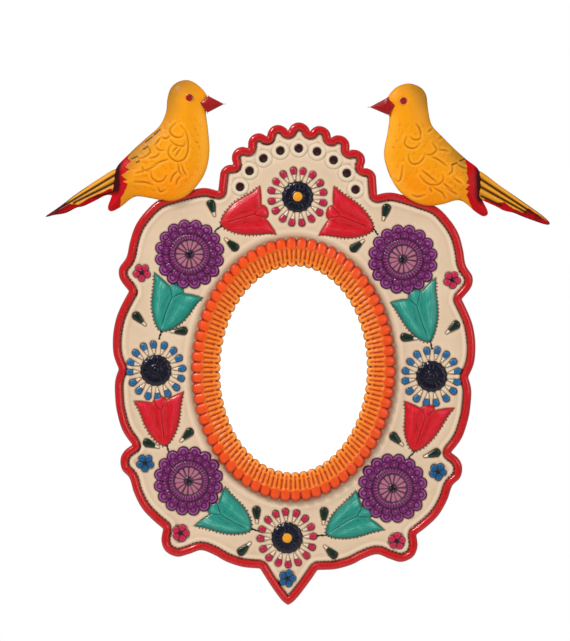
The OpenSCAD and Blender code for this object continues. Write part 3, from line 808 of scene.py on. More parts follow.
def rosette(middle, turn):
    """Two rings of overlapping round lobes, a raised ring, radial petals and an eye."""
    eye, petals, ring, second = 3.6, 12.3, 16.9, 22.6
    spin = math.radians(turn)

    def relief(p, inside, run):
        r, a = polar(p, middle)
        t = sector(a, 16)
        lobe = np.hypot(r * np.cos(t) - 24.0, r * np.sin(t))
        t2 = sector(a, 17, 0.37)
        bead = np.hypot(r * np.cos(t2) - 19.2, r * np.sin(t2))
        height = 0.7 + 1.25 * cap(lobe / 5.1) - 0.4 * bump(lobe - 2.1, 0.6)
        inner_lobes = 1.25 + 1.0 * cap(bead / 3.2) - 0.3 * bump(bead - 1.45, 0.5)
        height = np.where(r < second, np.maximum(height, inner_lobes * smooth(22.8, 21.6, r)), height)
        fluting = 1.7 + 0.16 * np.cos(a * 41 + 2 * np.sin(a * 3))
        height = np.where(r < ring, 0.9 + fluting * cap((r - 14.3) / 2.6), height)
        petal = 0.7 + 0.55 * cap(r * np.sin(sector(a + spin, 14)) / (0.205 * r + 0.2)) * smooth(12.4, 10.6, r)
        height = np.where(r < petals, petal, height)
        height = np.where(r < eye, 0.8 + 1.6 * cap(r / 3.7), height)
        # paint: painted highlights on the lobes and beads, ink in the outline and between the petals, dark
        # rings, and painted highlight specks on the beads
        shade = 0.2 * bump(lobe - 0.6, 1.1) * (0.7 + 0.6 * np.sin(a * 2.3 + turn)) + 0.12 * bump(bead, 0.9)
        shade -= 0.1 * (r > 17) + 0.42 * bump(inside, 0.5)
        between = bump(r * np.sin(sector(a + spin, 14, 0.5)), 0.35 + 0.09 * r) * (r < 11.2)
        shade -= 0.42 * (0.8 + 0.5 * np.sin(a * 3.1 + turn)) * between
        shade -= 0.3 * bump(r - 12.4, 0.6) + 0.22 * (abs(r - 14.6) < 2.2) + 0.25 * bump(r - 17.0, 0.6)
        shade += 0.9 * bump(np.hypot(bead - 2.3, 2.2 * t2 * r), 0.5) * (r > 17)
        return height * smooth(-0.2, 1.6, inside) + 0.1, {"radius": r, "tone": shade}
    return relief


PURPLE = banded("rosette_purple", [(3.5, "100810"), (12.2, "B06A82"), (16.9, "68044E"), (40, "6C0A5A")],
                "26041E",
                "A868A6", wash=0.8)
for number, place in enumerate(ROSETTES):
    rim_line = lobed(place, ROSETTE_R, 5.2, 16)
    make(f"rosette_{number + 1}", *skin(rim_line, rosette(place, number * 7), 0.55, rings=[0.2, 0.5],
                                        wash=2.0,
                                        smoothing=8), PURPLE)


def daisy_disc(middle, eye):
    def relief(p, inside, run):
        r, a = polar(p, middle)
        t = sector(a, 16)
        height = 1.7 * smooth(0, 3.4, inside) ** 0.6 + 0.55 * smooth(10, 4, r)
        height -= 0.35 * bump(r * np.sin(t), 0.42) * smooth(4.2, 6.2, r) * smooth(12.2, 10.6, r)
        height -= 0.4 * bump(r - 5.2, 0.55)
        if eye:
            height = np.where(r < 4.0, 1.7 + 1.5 * cap(r / 4.0), height)
        else:
            height += 0.5 * cap(np.minimum(r / 2.4, 1)) - 0.3 * bump(r - 2.7, 0.4)
        return height + 0.1, {"radius": r + (0 if eye else 5), "tone": -0.3 * bump(inside, 0.5)}
    return relief


NAVY = banded("daisy_navy", [(3.9, "F0A010"), (40, "0A071E")], "030209", "1E2458", wobble=0.1, wash=0.8)
PINK = ("96082E", "CC1E50")
BLUE = ("0C3E68", "2278B2")
PETAL_PAINT = {"pink": dipped("petal_pink", PINK), "blue": dipped("petal_blue", BLUE)}


def raised_drop(head, tail, r, tall, painted):
    """A raised drop that is painted from its head down to a share of its length."""
    def relief(p, inside, run):
        way = (tail - head) / np.linalg.norm(tail - head)
        along = (p - head) @ way
        height = tall * (1 - (1 - np.clip(inside / (r * 0.95), 0, 1)) ** 2) ** 0.6
        return height + 0.1, {"head": np.minimum(inside - 0.3, painted - along),
                              "tone": -0.3 * bump(inside, 0.4) * smooth(6, 2, along)}
    return relief


for number, (place, kind, petals) in enumerate(PETALS):
    disc = skin(lobed(place, DAISY_R, 3.6, 16), daisy_disc(place, kind == "pink"), 0.45, rings=[0.2, 0.5],
                wash=1.6)
    make(f"daisy_disc_{number + 1}", *disc, NAVY)
    drops = [skin(teardrop(h, t, PETAL_R), raised_drop(h, t, PETAL_R, 1.5, 3.6), 0.42, rings=[0.2], wash=1.0,
                  smoothing=4) for h, t in petals]
    make(f"daisy_petals_{number + 1}", *joined(drops), PETAL_PAINT[kind])


def small_flower(middle, turn):
    def relief(p, inside, run):
        r, a = polar(p, middle)
        t = sector(a - math.radians(turn), 5, 0)
        petal = np.hypot(r * np.cos(t) - 4.5, r * np.sin(t))
        height = 0.5 + 1.1 * cap(petal / 3.3) * smooth(-0.1, 0.8, inside)
        height = np.where(r < 2.1, 0.6 + 1.1 * cap(r / 2.2), height)
        shade = -0.45 * bump(inside, 0.5) - 0.5 * bump(r * np.sin(sector(a - math.radians(turn), 5, 0.5)),
                                                       0.4) * (r > 2.0)
        return height * smooth(-0.3, 0.5, inside) + 0.1, {"radius": r, "tone": shade}
    return relief


FLOWER_PAINT = {"pink": banded("flower_pink", [(2.1, "1A0D10"), (40, "C01A48")], "34040E", "E8708A",
                               wobble=0.12),
                "blue": banded("flower_blue", [(2.1, "0C0F14"), (40, "0E5486")], "04101E", "5C9CC4",
                               wobble=0.12)}
for kind, places in (("pink", PINK_FLOWERS), ("blue", BLUE_FLOWERS)):
    for number, place in enumerate(places):
        spin = 90 + number * 11
        flower = skin(flower_outline(place, spin), small_flower(place, spin), 0.4, rings=[0.2], wash=1.4,
                      smoothing=4)
        make(f"small_flower_{kind}_{number + 1}", *flower, FLOWER_PAINT[kind])


def crest_dot(middle):
    def relief(p, inside, run):
        r, _ = polar(p, middle)
        height = 0.5 * bump(r - 5.0, 1.5) + 0.6 * cap(r / 3.6) - 0.2 * bump(r - 3.7, 0.4)
        fade = smooth(0, 0.6, inside)
        return height * fade + 0.14 * fade - 0.08, {"head": 3.45 - r, "tone": 0.04}
    return relief


dots = [skin(circle(m, DOT_RING_R, 60), crest_dot(m), 0.5, rings=[0.4], wash=1.0,
             smoothing=5) for m in CREST_DOTS]
make("crest_dots", *joined(dots), dipped("dot_maroon", ("1C060C", "38141C"), ground="DCC6A8", ink="3A2418"))
drops = [skin(teardrop(h, t, DROP_R), raised_drop(h, t, DROP_R, 1.7, 7.4), 0.45, rings=[0.25], wash=1.0,
              smoothing=4)
         for h, t in DROP_SHAPES]
make("leaf_drops", *joined(drops), dipped("drop_green", ("04140D", "0E3324"), ink="080604"))

# ---------------------------------------------------------------- tulips, their stems and the chisel marks


def tulip(shape, kind):
    base, along, across = tulip_frame(shape)
    frame_of = np.linalg.inv(np.stack([along, across], 1))

    def relief(p, inside, run):
        s, t = (frame_of @ (p - base).T)
        size = np.linalg.norm(along)
        lean = 0.06 * np.sin(math.pi * s) if kind == "teal" else 0
        # creases: from the base up to the fork, then along both sides of the bud
        fork = 0.70
        side = np.abs(t - lean)
        vee = np.where(s > fork, np.abs(side - (s - fork) * 1.25), np.hypot(side, np.maximum(s - fork, 0)))
        crease = bump(vee * size * 0.8, 0.75) * smooth(0.04, 0.2, s)
        pillow = 2.1 * (1 - (1 - np.clip(inside / 6.5, 0, 1)) ** 2) ** 0.7
        ray = np.arctan2(side, s + 0.35)
        shift = 0.8 if kind == "teal" else 0
        folds = 0.18 * np.cos(ray * 13 + shift) * smooth(0.05, 0.35, s) * smooth(0.4, 3, inside)
        lap = 0.35 * smooth(0.02, -0.03, t - lean) * smooth(fork, fork - 0.1, s) if kind == "teal" else 0
        bud = 0.5 * smooth(0, 0.05, (s - fork) * 1.25 - side) * (s > fork)
        height = pillow + folds + lap - 0.55 * crease - bud * 0.4
        return height + 0.1, {"streak": ray * np.where(t > lean, 1, -1) * 3, "length": s * 3,
                              "tone": 0.6 * folds - 0.3 * crease}
    return relief


TULIP_PAINT = {"red": tulip_paint("tulip_red", "6A0008", "D00014", "E42A4E", "C0000C"),
               "teal": tulip_paint("tulip_teal", "054A40", "1C9080", "74C4B0", "0A7466")}
STEM = plain_paint("stem_black", "0A0806", "2A2018")
counts = {"red": 0, "teal": 0}
for shape, kind, bulge in TULIPS:
    counts[kind] += 1
    flower = skin(tulip_outline(shape, bulge), tulip(shape, kind), 0.6, rings=[0.25, 0.6], wash=0.9,
                  smoothing=7)
    make(f"tulip_{kind}_{counts[kind]}", *flower, TULIP_PAINT[kind])


def bead_line(start, end, wide, knots):
    """Outlines of a thin line that swells at its knots."""
    start, end = np.array(start, float), np.array(end, float)
    run = np.linalg.norm(end - start)
    way = (end - start) / run
    side = np.array((-way[1], way[0]))
    s = np.linspace(0, 1, 24)
    half = wide * (0.28 + 0.32 * np.abs(np.sin(s * math.pi * knots + 0.4)))
    bend = 0.45 * np.sin(s * 5.5)
    middle = start + s[:, None] * run * way + bend[:, None] * side
    return np.vstack([middle + half[:, None] * side, (middle - half[:, None] * side)[::-1]])


def low_ridge(tall):
    def relief(p, inside, run):
        return tall * np.sqrt(np.clip(inside / 0.6, 0, 1)) + 0.15, {}
    return relief


stems = [bead_line(np.array(shape[0]) + 0.4 * (np.array(shape[0]) - shape[3]) / 8, shape[3], 1.5, 2.5)
         for shape, _, _ in TULIPS]
make("stems", *joined([skin(line, low_ridge(0.45), 0.4, smoothing=1) for line in stems]), STEM)


def ticks_along(line, every, length, wide, out):
    """Small cuts across an open line, on one side of it, each a thin lozenge."""
    step = np.diff(line, axis=0)
    s = np.r_[0, np.cumsum(np.linalg.norm(step, axis=1))]
    for at in np.arange(every * 0.6, s[-1] - every * 0.5, every):
        at += chance.uniform(-0.2, 0.2)
        q = np.array([np.interp(at, s, line[:, 0]), np.interp(at, s, line[:, 1])])
        way = step[min(np.searchsorted(s, at) - 1, len(step) - 1)]
        way = way / np.linalg.norm(way)
        side = np.array((-way[1], way[0])) * out
        reach = length * chance.uniform(0.7, 1.2)
        waist = q + side * reach * 0.5
        yield [q - side * 0.3, waist + way * wide, q + side * reach, waist - way * wide]


cuts = []
for shape, kind, bulge in TULIPS:
    base, along, across = tulip_frame(shape)
    for hand in (1, -1):
        side = curve([(s, t * hand * (1 + bulge * math.sin(math.pi * s))) for s, t in TULIP_SIDE], 6)
        line = base + side[:, :1] * along + side[:, 1:] * across
        turn = np.sign(along[0] * across[1] - along[1] * across[0]) * hand
        cuts += list(ticks_along(line, 3.0, 1.7, 0.5, turn))
for part in (SHOULDER, HIP, FOOT, LOWER_SIDE[3:], UPPER_SIDE[2:4]):
    for hand in (1, -1):
        line = curve(part, 8) * (hand, 1)
        step = np.gradient(line, axis=0)
        step /= np.linalg.norm(step, axis=1)[:, None]
        inner = line + np.stack([step[:, 1], -step[:, 0]], -1) * (RIM_W - 0.1) * hand
        cuts += list(ticks_along(inner, 3.1, 1.4, 0.5, -hand))
# the marks are flat dark lozenges just over the sheet: red-brown paint run into the chisel cuts, together with
# the painted shade of the cuts
verts = [(q[0], -(FACE + 0.16 + waves(np.array([q]))[0]), q[1]) for cut in cuts for q in cut]
faces = []
for i, cut in enumerate(cuts):
    (a, b), (c, d) = cut[1] - cut[0], cut[2] - cut[0]
    corners = [4 * i, 4 * i + 1, 4 * i + 2, 4 * i + 3]
    faces.append(corners if a * d > b * c else corners[::-1])
make("chisel_marks", verts, faces, {"tone": np.zeros(len(verts))},
     plain_paint("cut_brown", "4A120E", "7C3226"))

# ---------------------------------------------------------------- ring of lobes around the mirror

LOBES = 66
PER_LOBE = 18
PITCH = 9.5
RIDGE_IN, RIDGE_OUT = 4.2, 13.2


def bezel():
    """The ring as one height field: hairpin ridges on the inner side and plump lobes on the outer side."""
    n, m = LOBES * PER_LOBE, 64
    turn = np.linspace(0, 2 * math.pi, n, endpoint=False)[:, None]
    angle = turn - math.radians(3.7) * np.sin(2 * turn)
    wobble = 1 + 0.05 * np.sin(np.floor(turn * LOBES / (2 * math.pi) + 0.5) * 2.4)
    x = ((turn * LOBES / (2 * math.pi) + 0.5) % 1 - 0.5) * PITCH
    x = np.abs(x)
    half = PITCH / 2
    low = 0.2 + 2.6 * (1 - cap(x / half * 0.96))
    high = BEZEL_W - 0.2 - 3.2 * (1 - cap(x / half * 0.97))
    y = low + (high - low) * np.linspace(0, 1, m)[None, :]
    # meander of ridges
    quarter = half / 2 * (1 - 0.3 * np.exp(-(((y - 7.8) / 1.5) ** 2)))
    ridge = np.abs(x - quarter) + 0 * y
    ridge = np.where(y < RIDGE_IN, np.abs(np.hypot(x, y - RIDGE_IN) - quarter), ridge)
    ridge = np.where(y > RIDGE_OUT, np.abs(np.hypot(x - half, y - RIDGE_OUT) - quarter), ridge)
    outer = smooth(12.8, 15.2, y - 2.4 * (x / half) ** 2)
    arch = np.sin(math.pi * np.clip(0.10 + 0.80 * y / BEZEL_W, 0, 1)) ** 0.75
    height = (BEZEL_H - 1.6) * arch
    hairpin = 1.1 * np.exp(-(ridge / 1.7) ** 2)
    slot = np.minimum(x, half - x)
    middle = smooth(6.6, 8.6, y) * smooth(14.6, 12.6, y)
    recess = np.exp(-(slot / 0.7) ** 2) * middle
    recess = recess + 0.8 * np.exp(-((x / 1.5) ** 2 + ((y - RIDGE_IN) / 1.7) ** 2))
    punch = np.exp(-(((x - half) / 1.15) ** 2 + ((y - 3.4) / 1.5) ** 2))
    punch += 0.8 * np.exp(-((slot / 0.75) ** 2 + ((y - 7.3) / 1.0) ** 2))
    punch += 0.75 * np.exp(-((slot / 0.75) ** 2 + ((y - 14.4) / 1.0) ** 2))
    plump = 2.6 * cap(x / (half * 1.02)) ** 0.9 * wobble
    height = height + (hairpin - 1.1 * punch - 0.3 * recess) * (1 - outer)
    height = height + (plump - 0.35 * bump(x - half, 0.7)) * outer
    ends = smooth(0, 1.4, y - low) ** 0.6 * smooth(0, 2.2, high - y) ** 0.5
    height = 0.25 + height * ends
    # tone: ridges and the inner side brushed lighter, recesses darker; on the outer lobes a painted highlight
    # on each crown and on a band across them, and painted shade between the lobes
    light = 0.52 + 0.26 * np.exp(-(ridge / 1.6) ** 2) + 0.25 * smooth(8, 2, y) - 0.5 * recess
    lobe_highlight = 0.55 + 0.45 * cap(x / half * 0.8) * smooth(1, 4, high - y)
    light = light * (1 - outer) + outer * (lobe_highlight - 0.35 * bump(x - half, 1.1) + 0.2 * bump(y - 17.5, 2.2))
    # dark: brown in the punched marks, plus painted shade between the outer lobes and along both edges of the
    # ring
    dark = np.clip(0.85 * punch * (1 - 0.6 * outer) + outer * 0.5 * bump(x - half, 0.5)
                   + 0.45 * smooth(0.9, 0.1, y - low) + 0.55 * smooth(0.9, 0.0, high - y), 0, 1)
    across = y - BEZEL_W
    px = (OVAL_W + across) * np.cos(angle)
    pz = (OVAL_H + across) * np.sin(angle)
    rows = np.stack([px, -(FACE + height), pz], -1)
    # both edges turn down to the sheet
    inner, outside = rows[:, :1].copy(), rows[:, -1:].copy()
    inner[..., 1] = -(FACE - 0.1)
    outside[..., 1] = -(FACE - 0.4)
    rows = np.concatenate([inner, rows, outside], 1)
    fields = {"tone": np.pad(light, ((0, 0), (1, 1)), "edge"), "dark": np.pad(dark, ((0, 0), (1, 1)), "edge"),
              "outer": np.pad(outer + 0 * y, ((0, 0), (1, 1)), "edge")}
    return rows.reshape(-1, 3), grid_faces(n, m + 2), {k: v.reshape(-1) for k, v in fields.items()}


def orange_enamel():
    """Deep orange on the outer lobes, washed lighter over the ridges and brown in the punched marks, with
    painted highlights on the lobes' crowns and painted shade between the lobes and along the ring's edges.
    """
    n = Nodes("orange_enamel")
    fine = n.noise(650, 4, 0.6)
    cloud = n.noise(70, 2)
    tone = n.varied(n.field("tone"), fine, 0.35, clamp=True)
    inner = n.ramp(tone, [(0.05, "A82800"), (0.4, "D85408"), (0.7, "F07818"), (1.0, "FF9E36")])
    plump = n.ramp(n.math("ADD", n.math("MULTIPLY", n.math("SUBTRACT", cloud, 0.5), 0.6), tone),
                   [(0.15, "982000"), (0.5, "CC3400"), (0.95, "EE4E04")])
    colour = n.mix(n.field("outer"), inner, plump)
    dark = n.varied(n.field("dark"), fine, 0.2, clamp=True)
    # dark brown in the punched marks and in the painted shade between the outer lobes and along the ring's
    # edges
    colour = n.mix(n.ramp(dark, [(0.15, 0.0), (0.75, 0.92)]), colour, "5C0E00")
    roughness = n.spread(n.noise(240, 3), 0.22, 0.4)
    return n.finish(colour, roughness, n.bump(fine, 0.00006, n.bump(cloud, 0.0003)), coat=0.2,
                    coat_rough=0.12)


make("bezel_lobes", *bezel(), orange_enamel(), slot="orange_paint", replaces=["bezel_ring"])

# ---------------------------------------------------------------- birds

LEFT = {
    "body": [
        (-77, 224.5), (-84.5, 232.6), (-93, 236.2), (-101.6, 234), (-107, 228.2), (-109.3, 219),
        (-110, 209.5), (-115, 198), (-126, 187.5), (-138.5, 175.5), (-149.5, 163), (-151.5, 151),
        (-153, 140), (-156, 130), (-153, 126.7), (-145.5, 130.5), (-137, 137.5), (-130, 139.5),
        (-113, 137), (-101.5, 136.6), (-90, 142), (-80, 153.8), (-75, 165.5), (-73.5, 179.5), (-75, 195.5),
        (-77, 209), (-76.5, 217),
    ],
    "beak": [
        (-82, 217.3), (-75.3, 223.4), (-62.4, 217.1), (-75.8, 209.6),
    ],
    "eye": (-90.8, 221.3),
    "tail": [
        (-142, 158), (-150, 161.8), (-165, 152.8), (-183, 139.9), (-195, 130.2), (-207.2, 121.2),
        (-200, 122.6), (-190.5, 124.5), (-182, 129), (-176, 130.5), (-166, 135.5), (-158, 139.8),
        (-152, 140), (-144, 141),
    ],
    "ribs": [
        ((-150, 159.5), (-196, 129)), ((-151, 154), (-196, 126.5)), ((-151, 147), (-181, 132.5)),
    ],
    "gaps": [
        ((-150, 157), (-203, 123.5)), ((-151, 150.3), (-184, 133)), ((-150, 143.5), (-168, 137.5)),
    ],
    "red": [
        (-138.2, 176.5), (-140.8, 170), (-137, 168), (-142.5, 163.5), (-138.5, 161), (-145.5, 156.2),
        (-140, 152.6), (-143.8, 151), (-139.5, 149.5), (-142.5, 142.5), (-145, 138), (-146, 128),
        (-154, 124), (-160, 129), (-155, 142), (-153, 155), (-153, 166), (-144, 178),
    ],
    "tail_red": [
        (-210, 119), (-193, 135), (-190, 132), (-180, 131.6), (-172, 137), (-160, 142.5), (-153, 146),
        (-152, 138), (-165, 132), (-180, 126),
    ],
    "wing": [
        [(-97, 198), (-92.5, 192), (-90.8, 184), (-91, 177), (-93.5, 171), (-98.5, 168.6),
         (-103.5, 170.4), (-106.8, 174.5), (-106.5, 179), (-104.5, 182)],
    ],
    "feathers": [
        [(-101.5, 200), (-106, 195), (-104.5, 190.5), (-100, 188.3), (-96, 189), (-94.8, 191.5)],
        [(-105.5, 186), (-102, 182.8), (-98, 181.3), (-94.3, 181.6), (-93.6, 184)],
        [(-112.5, 188), (-109, 187.3), (-105.5, 189.5)], [(-118, 181.5), (-116, 184.5), (-114, 187)],
        [(-117, 180), (-114.5, 177.6), (-110, 177.6)],
        [(-123, 179), (-121.8, 175.5), (-126, 171.8), (-131, 170)],
        [(-114, 175), (-117, 172), (-122, 170.8)], [(-128, 163.5), (-126.5, 160.8), (-121, 160)],
        [(-121, 159.5), (-119.5, 154.5), (-115, 151.6), (-111, 152.5), (-108, 156.5)],
        [(-114.5, 146.5), (-112.8, 143.6), (-109, 145)], [(-104.5, 151.5), (-102.5, 157), (-98, 161)],
        [(-100, 149.5), (-98.5, 154), (-95.5, 157)], [(-98.5, 166.5), (-97.5, 160.5), (-94.5, 156.5)],
        [(-96, 166.5), (-94, 161), (-91.8, 157.5)], [(-103, 176.5), (-99, 181)],
        [(-101, 173), (-96.5, 180)], [(-120, 164), (-113, 168), (-107, 170)],
        [(-133, 158), (-124, 161), (-116, 165)], [(-134, 151), (-126, 151), (-119, 149)],
    ],
    "breast": [
        [(-86, 204), (-83, 199.5), (-79.5, 196.8)], [(-85.5, 195), (-83.5, 190.5)],
        [(-84, 185.5), (-81, 180.5)], [(-84, 165.5), (-81, 160)], [(-87.8, 176.5), (-86, 171)],
        [(-80, 174), (-78.5, 169)],
    ],
    "slashes": [
        [(-121, 188.5), (-126, 184.3)], [(-132.3, 172), (-137.5, 169.8)], [(-114.5, 195), (-119, 190.5)],
        [(-124, 180.5), (-127.5, 178)], [(-130.5, 168.5), (-133, 167)],
    ],
    "side": -1,
}
RIGHT = {
    "body": [
        (72, 225.2), (78.7, 234), (89, 237.7), (98.5, 235), (103.8, 228.5), (105.8, 216), (109, 204),
        (117.5, 195), (128.3, 184.7), (138, 176.5), (148.2, 168.3), (150.5, 156), (149.5, 147),
        (152.4, 142.5), (157, 133), (153.5, 129.8), (146.5, 133.5), (138, 140.5), (131, 142.5),
        (119.5, 139), (108, 137.4), (96.7, 140), (85, 147.5), (76.3, 159.5), (71, 173.8), (70.4, 183.5),
        (72.8, 197), (74, 210), (72.6, 218),
    ],
    "beak": [
        (78.5, 219), (73.3, 211.1), (57.6, 217.4), (71.8, 225.4),
    ],
    "eye": (85.0, 222.8),
    "tail": [
        (143, 162), (148.6, 167.4), (167, 155), (188.5, 140.8), (202, 131.6), (208, 125.8), (205, 124.2),
        (191.5, 128.3), (184, 131), (178, 133.3), (170, 135), (164, 138), (152, 143), (144, 146),
    ],
    "ribs": [
        ((150, 164), (199, 132)), ((150, 157.5), (196, 130.5)), ((150.5, 150.5), (182, 135.5)),
    ],
    "gaps": [
        ((150, 160.5), (200, 129.5)), ((150.5, 154), (188, 134)), ((151, 146.5), (168, 139)),
    ],
    "red": [
        (136.6, 178), (137.3, 173.5), (138.6, 170), (138.2, 165), (140, 160), (138, 156.5), (141.2, 155),
        (137.4, 151.2), (140, 150), (138.6, 147), (140.5, 143), (146, 131), (154, 127), (161, 132),
        (153, 143.5), (151, 150), (153, 158), (151, 168), (141, 180),
    ],
    "tail_red": [
        (211, 124), (190, 137.5), (186, 133.5), (178, 136.5), (170, 142), (164, 141.2), (154, 144.8),
        (152, 139), (165, 134), (180, 128), (195, 123),
    ],
    "wing": [
        [(96, 204), (99.4, 199), (99.8, 194)],
        [(104, 179.5), (107.2, 178.8), (111, 180.4), (113, 183.2), (111.6, 186.3), (109.6, 189)],
    ],
    "feathers": [
        [(91.3, 193.6), (94, 191.2), (98, 191.3), (100.3, 193.6)],
        [(88.2, 193), (86.8, 188.4), (88.5, 185.4), (92.5, 183.8), (96.5, 184.8), (99.2, 188)],
        [(90.2, 178.5), (91, 173.6), (94.5, 171), (99, 172), (102.4, 175.8), (103.6, 180)],
        [(113, 183.4), (118, 183.3), (122.5, 182.6)], [(118.5, 195.2), (115, 192.6)],
        [(100, 161.5), (104, 157), (109, 154.4), (115, 154.8), (119, 158.4), (118.8, 162.8)],
        [(123, 163), (126.2, 165.5), (126.4, 170.5)],
        [(109.5, 153.2), (116, 149.6), (119, 147.6), (121.5, 143.2)], [(108.2, 152), (110, 148.5)],
        [(114.5, 156), (107, 162), (101.5, 166)], [(122, 170), (115, 175), (109, 177.5)],
        [(94, 145.6), (98.5, 144.4), (104.5, 145.8)],
        [(85.6, 169.5), (84.8, 162), (83.6, 157.6), (81.3, 156.6), (79.8, 158.8)],
        [(131, 171.8), (134.5, 169.5), (138, 168.6)], [(126.5, 150.5), (119, 156)],
        [(134, 156), (127, 161)], [(106, 198), (109, 200.5)], [(131, 147), (122, 152)],
    ],
    "breast": [
        [(72.4, 176), (75, 172.6), (77.6, 176.4)], [(78.2, 164.5), (80, 160)], [(83, 203.5), (82, 197)],
        [(79, 194), (80.5, 188)], [(77.5, 186), (78.5, 181)],
    ],
    "slashes": [
        [(126, 171.3), (130, 173)], [(132.5, 174.6), (137, 176.8)],
    ],
    "side": 1,
}


def stroke_distance(p, strokes):
    """Distance of points from the nearest of some open lines, and the share of its length at that place."""
    best = np.full(len(p), 1e9)
    share = np.zeros(len(p))
    for stroke in strokes:
        line = np.array(stroke, float) if len(stroke) < 3 else np.vstack([curve(stroke, 5), stroke[-1]])
        for i, (a, b) in enumerate(zip(line, line[1:])):
            t = np.clip(((p - a) @ (b - a)) / max((b - a) @ (b - a), 1e-9), 0, 1)
            d = np.hypot(*(p - a - t[:, None] * (b - a)).T)
            near = d < best
            best = np.where(near, d, best)
            share = np.where(near, (i + t) / (len(line) - 1), share)
    return best, share


def plumage(bird):
    """Short curved strokes between the long ones, in staggered rows that follow the body down to the tail."""
    body = closed(bird["body"], 8)
    side = bird["side"]
    strokes = []
    for row in range(13):
        for place in range(13):
            q = np.array([side * (78 + 6.3 * place + 3.1 * (row % 2)),
                          141 + 5.6 * row]) + chance.uniform(-0.9, 0.9, 2)
            near = stroke_distance(q[None], bird["feathers"] + bird["wing"])[0][0]
            if edge_distance(q[None], body)[0][0] > 5 and near > 2.6 and q[1] < 205 and abs(q[0]) < 137:
                way = turned((0, -1), side * 48 + chance.uniform(-14, 14))
                across = np.array((-way[1], way[0])) * 1.9
                strokes.append([q - across, q + way * 1.5, q + across])
    return strokes


def bird_height(bird):
    short = plumage(bird)

    def relief(p, inside, run):
        full = BIRD_H - 0.9
        height = 0.5 + full * (1 - (1 - np.clip(inside / 27, 0, 1)) ** 2) ** 0.62
        feather, share = stroke_distance(p, bird["feathers"] + bird["wing"])
        breast, _ = stroke_distance(p, bird["breast"])
        slash, _ = stroke_distance(p, bird["slashes"])
        tuft, _ = stroke_distance(p, short)
        cut = 0.55 * bump(feather, 0.9) * (0.35 + 0.65 * np.sin(math.pi * np.clip(share, 0.03, 0.97)) ** 0.5)
        cut += 0.26 * bump(tuft, 0.8) + 0.28 * bump(breast, 0.8) + 0.3 * bump(slash, 0.9)
        plume = 0.28 * np.exp(-((feather - 1.8) / 1.4) ** 2)
        fade = smooth(200, 185, p[:, 1]) * smooth(2, 8, inside)
        soft = 0.10 * np.sin(p[:, 0] / 3.1 + np.sin(p[:, 1] / 4.7)) * fade
        red = edge_distance(p, np.array(bird["red"], float))[0]
        eye = np.hypot(*(p - np.array(bird["eye"])).T)
        height = height - cut + plume + soft - 0.25 * smooth(-0.5, 0.8, red) - 0.25 * bump(eye - 3.1, 0.5)
        side = bird["side"]
        over = (p[:, 0] * side - 100) / 60 + (p[:, 1] - 150) / 110
        back = smooth(0.25, 0.95, over) * smooth(26, 4, inside)
        reach = np.abs(p[:, 0])
        lined = 0.10 * bump(feather, 0.9) * np.sin(math.pi * np.clip(share, 0.05, 0.95))
        lined += 0.04 * bump(breast, 0.8) + 0.04 * bump(tuft, 0.8)
        return height, {
            "tone": 0.10 * np.exp(-((feather - 2.0) / 1.2) ** 2) - lined,
            "back": back + 0.2 * smooth(215, 236, p[:, 1]),
            "belly": smooth(178, 148, p[:, 1]) * smooth(165, 100, reach),
            "light": 0.55 * smooth(12, 2, inside) * smooth(108, 84, reach) * smooth(222, 205, p[:, 1]),
            "red": red, "dark": smooth(141, 150, reach) * smooth(136, 146, p[:, 1]),
            "ink": 0.85 * bump(slash, 0.8),
        }
    return relief


def tail_height(bird):
    def relief(p, inside, run):
        rib, _ = stroke_distance(p, bird["ribs"])
        gap, share = stroke_distance(p, bird["gaps"])
        height = 0.5 * np.sqrt(np.clip(inside / 1.5, 0, 1)) + 0.9 * bump(rib, 1.5) - 0.4 * bump(gap, 0.8)
        reach = np.abs(p[:, 0])
        in_gap = 0.85 * bump(gap, 1.2) * smooth(204, 190, reach) * smooth(0.0, 0.15, share + 0.1)
        at_edge = 0.9 * smooth(1.0, 0.3, inside) * smooth(160, 185, reach)
        return height, {
            "tone": 0.12 * bump(rib, 1.2) - 0.2 * bump(gap, 1.4), "back": 0.55, "belly": 0, "light": 0,
            "red": edge_distance(p, np.array(bird["tail_red"], float))[0],
            "dark": 0.35 + 0.4 * smooth(180, 200, reach) * bump(gap, 2.5), "ink": np.maximum(in_gap, at_edge),
        }
    return relief


def bowl(p, inside, run):
    """The hollow side of a bird."""
    return 0.5 + (BIRD_H - 1.1) * (1 - (1 - np.clip(inside / 27, 0, 1)) ** 2) ** 0.62, {}


def eye_dome(middle, r, tall):
    def relief(p, inside, run):
        return tall * cap(polar(p, middle)[0] / (r * 1.04)), {}
    return relief


def beak_height(p, inside, run):
    return 1.9 * np.clip(inside / 4.2, 0, 1) ** 0.55 + 1.5 * smooth(68, 80, np.abs(p[:, 0])), {}


def flat_back(p, inside, run):
    return 0.4 * smooth(0, 1.5, inside), {}


BIRD_PAINT = bird_paint()
BEAK_PAINT = plain_paint("beak_red", "7E0206", "A80208", 320, coat=0.3, rough=(0.28, 0.4))
EYE_RING = plain_paint("eye_ring", "D8851C", "EFA640", 600)


def plate(name, outline, relief, step, base, material, node, **more):
    """A piece of a bird, which doesn't have the dents of the sheet."""
    slot = "tinplate" if material is TIN_BARE else "bird_paint"
    make(name, *skin(outline, relief, step, base=base, follow=False, **more), material, slot=slot,
         replaces=[node])


def dome_top(inside):
    """Depth of a bird's front this far inside its edge."""
    return BIRD_BACK + 0.5 + (BIRD_H - 0.9) * (1 - (1 - inside / 27) ** 2) ** 0.62


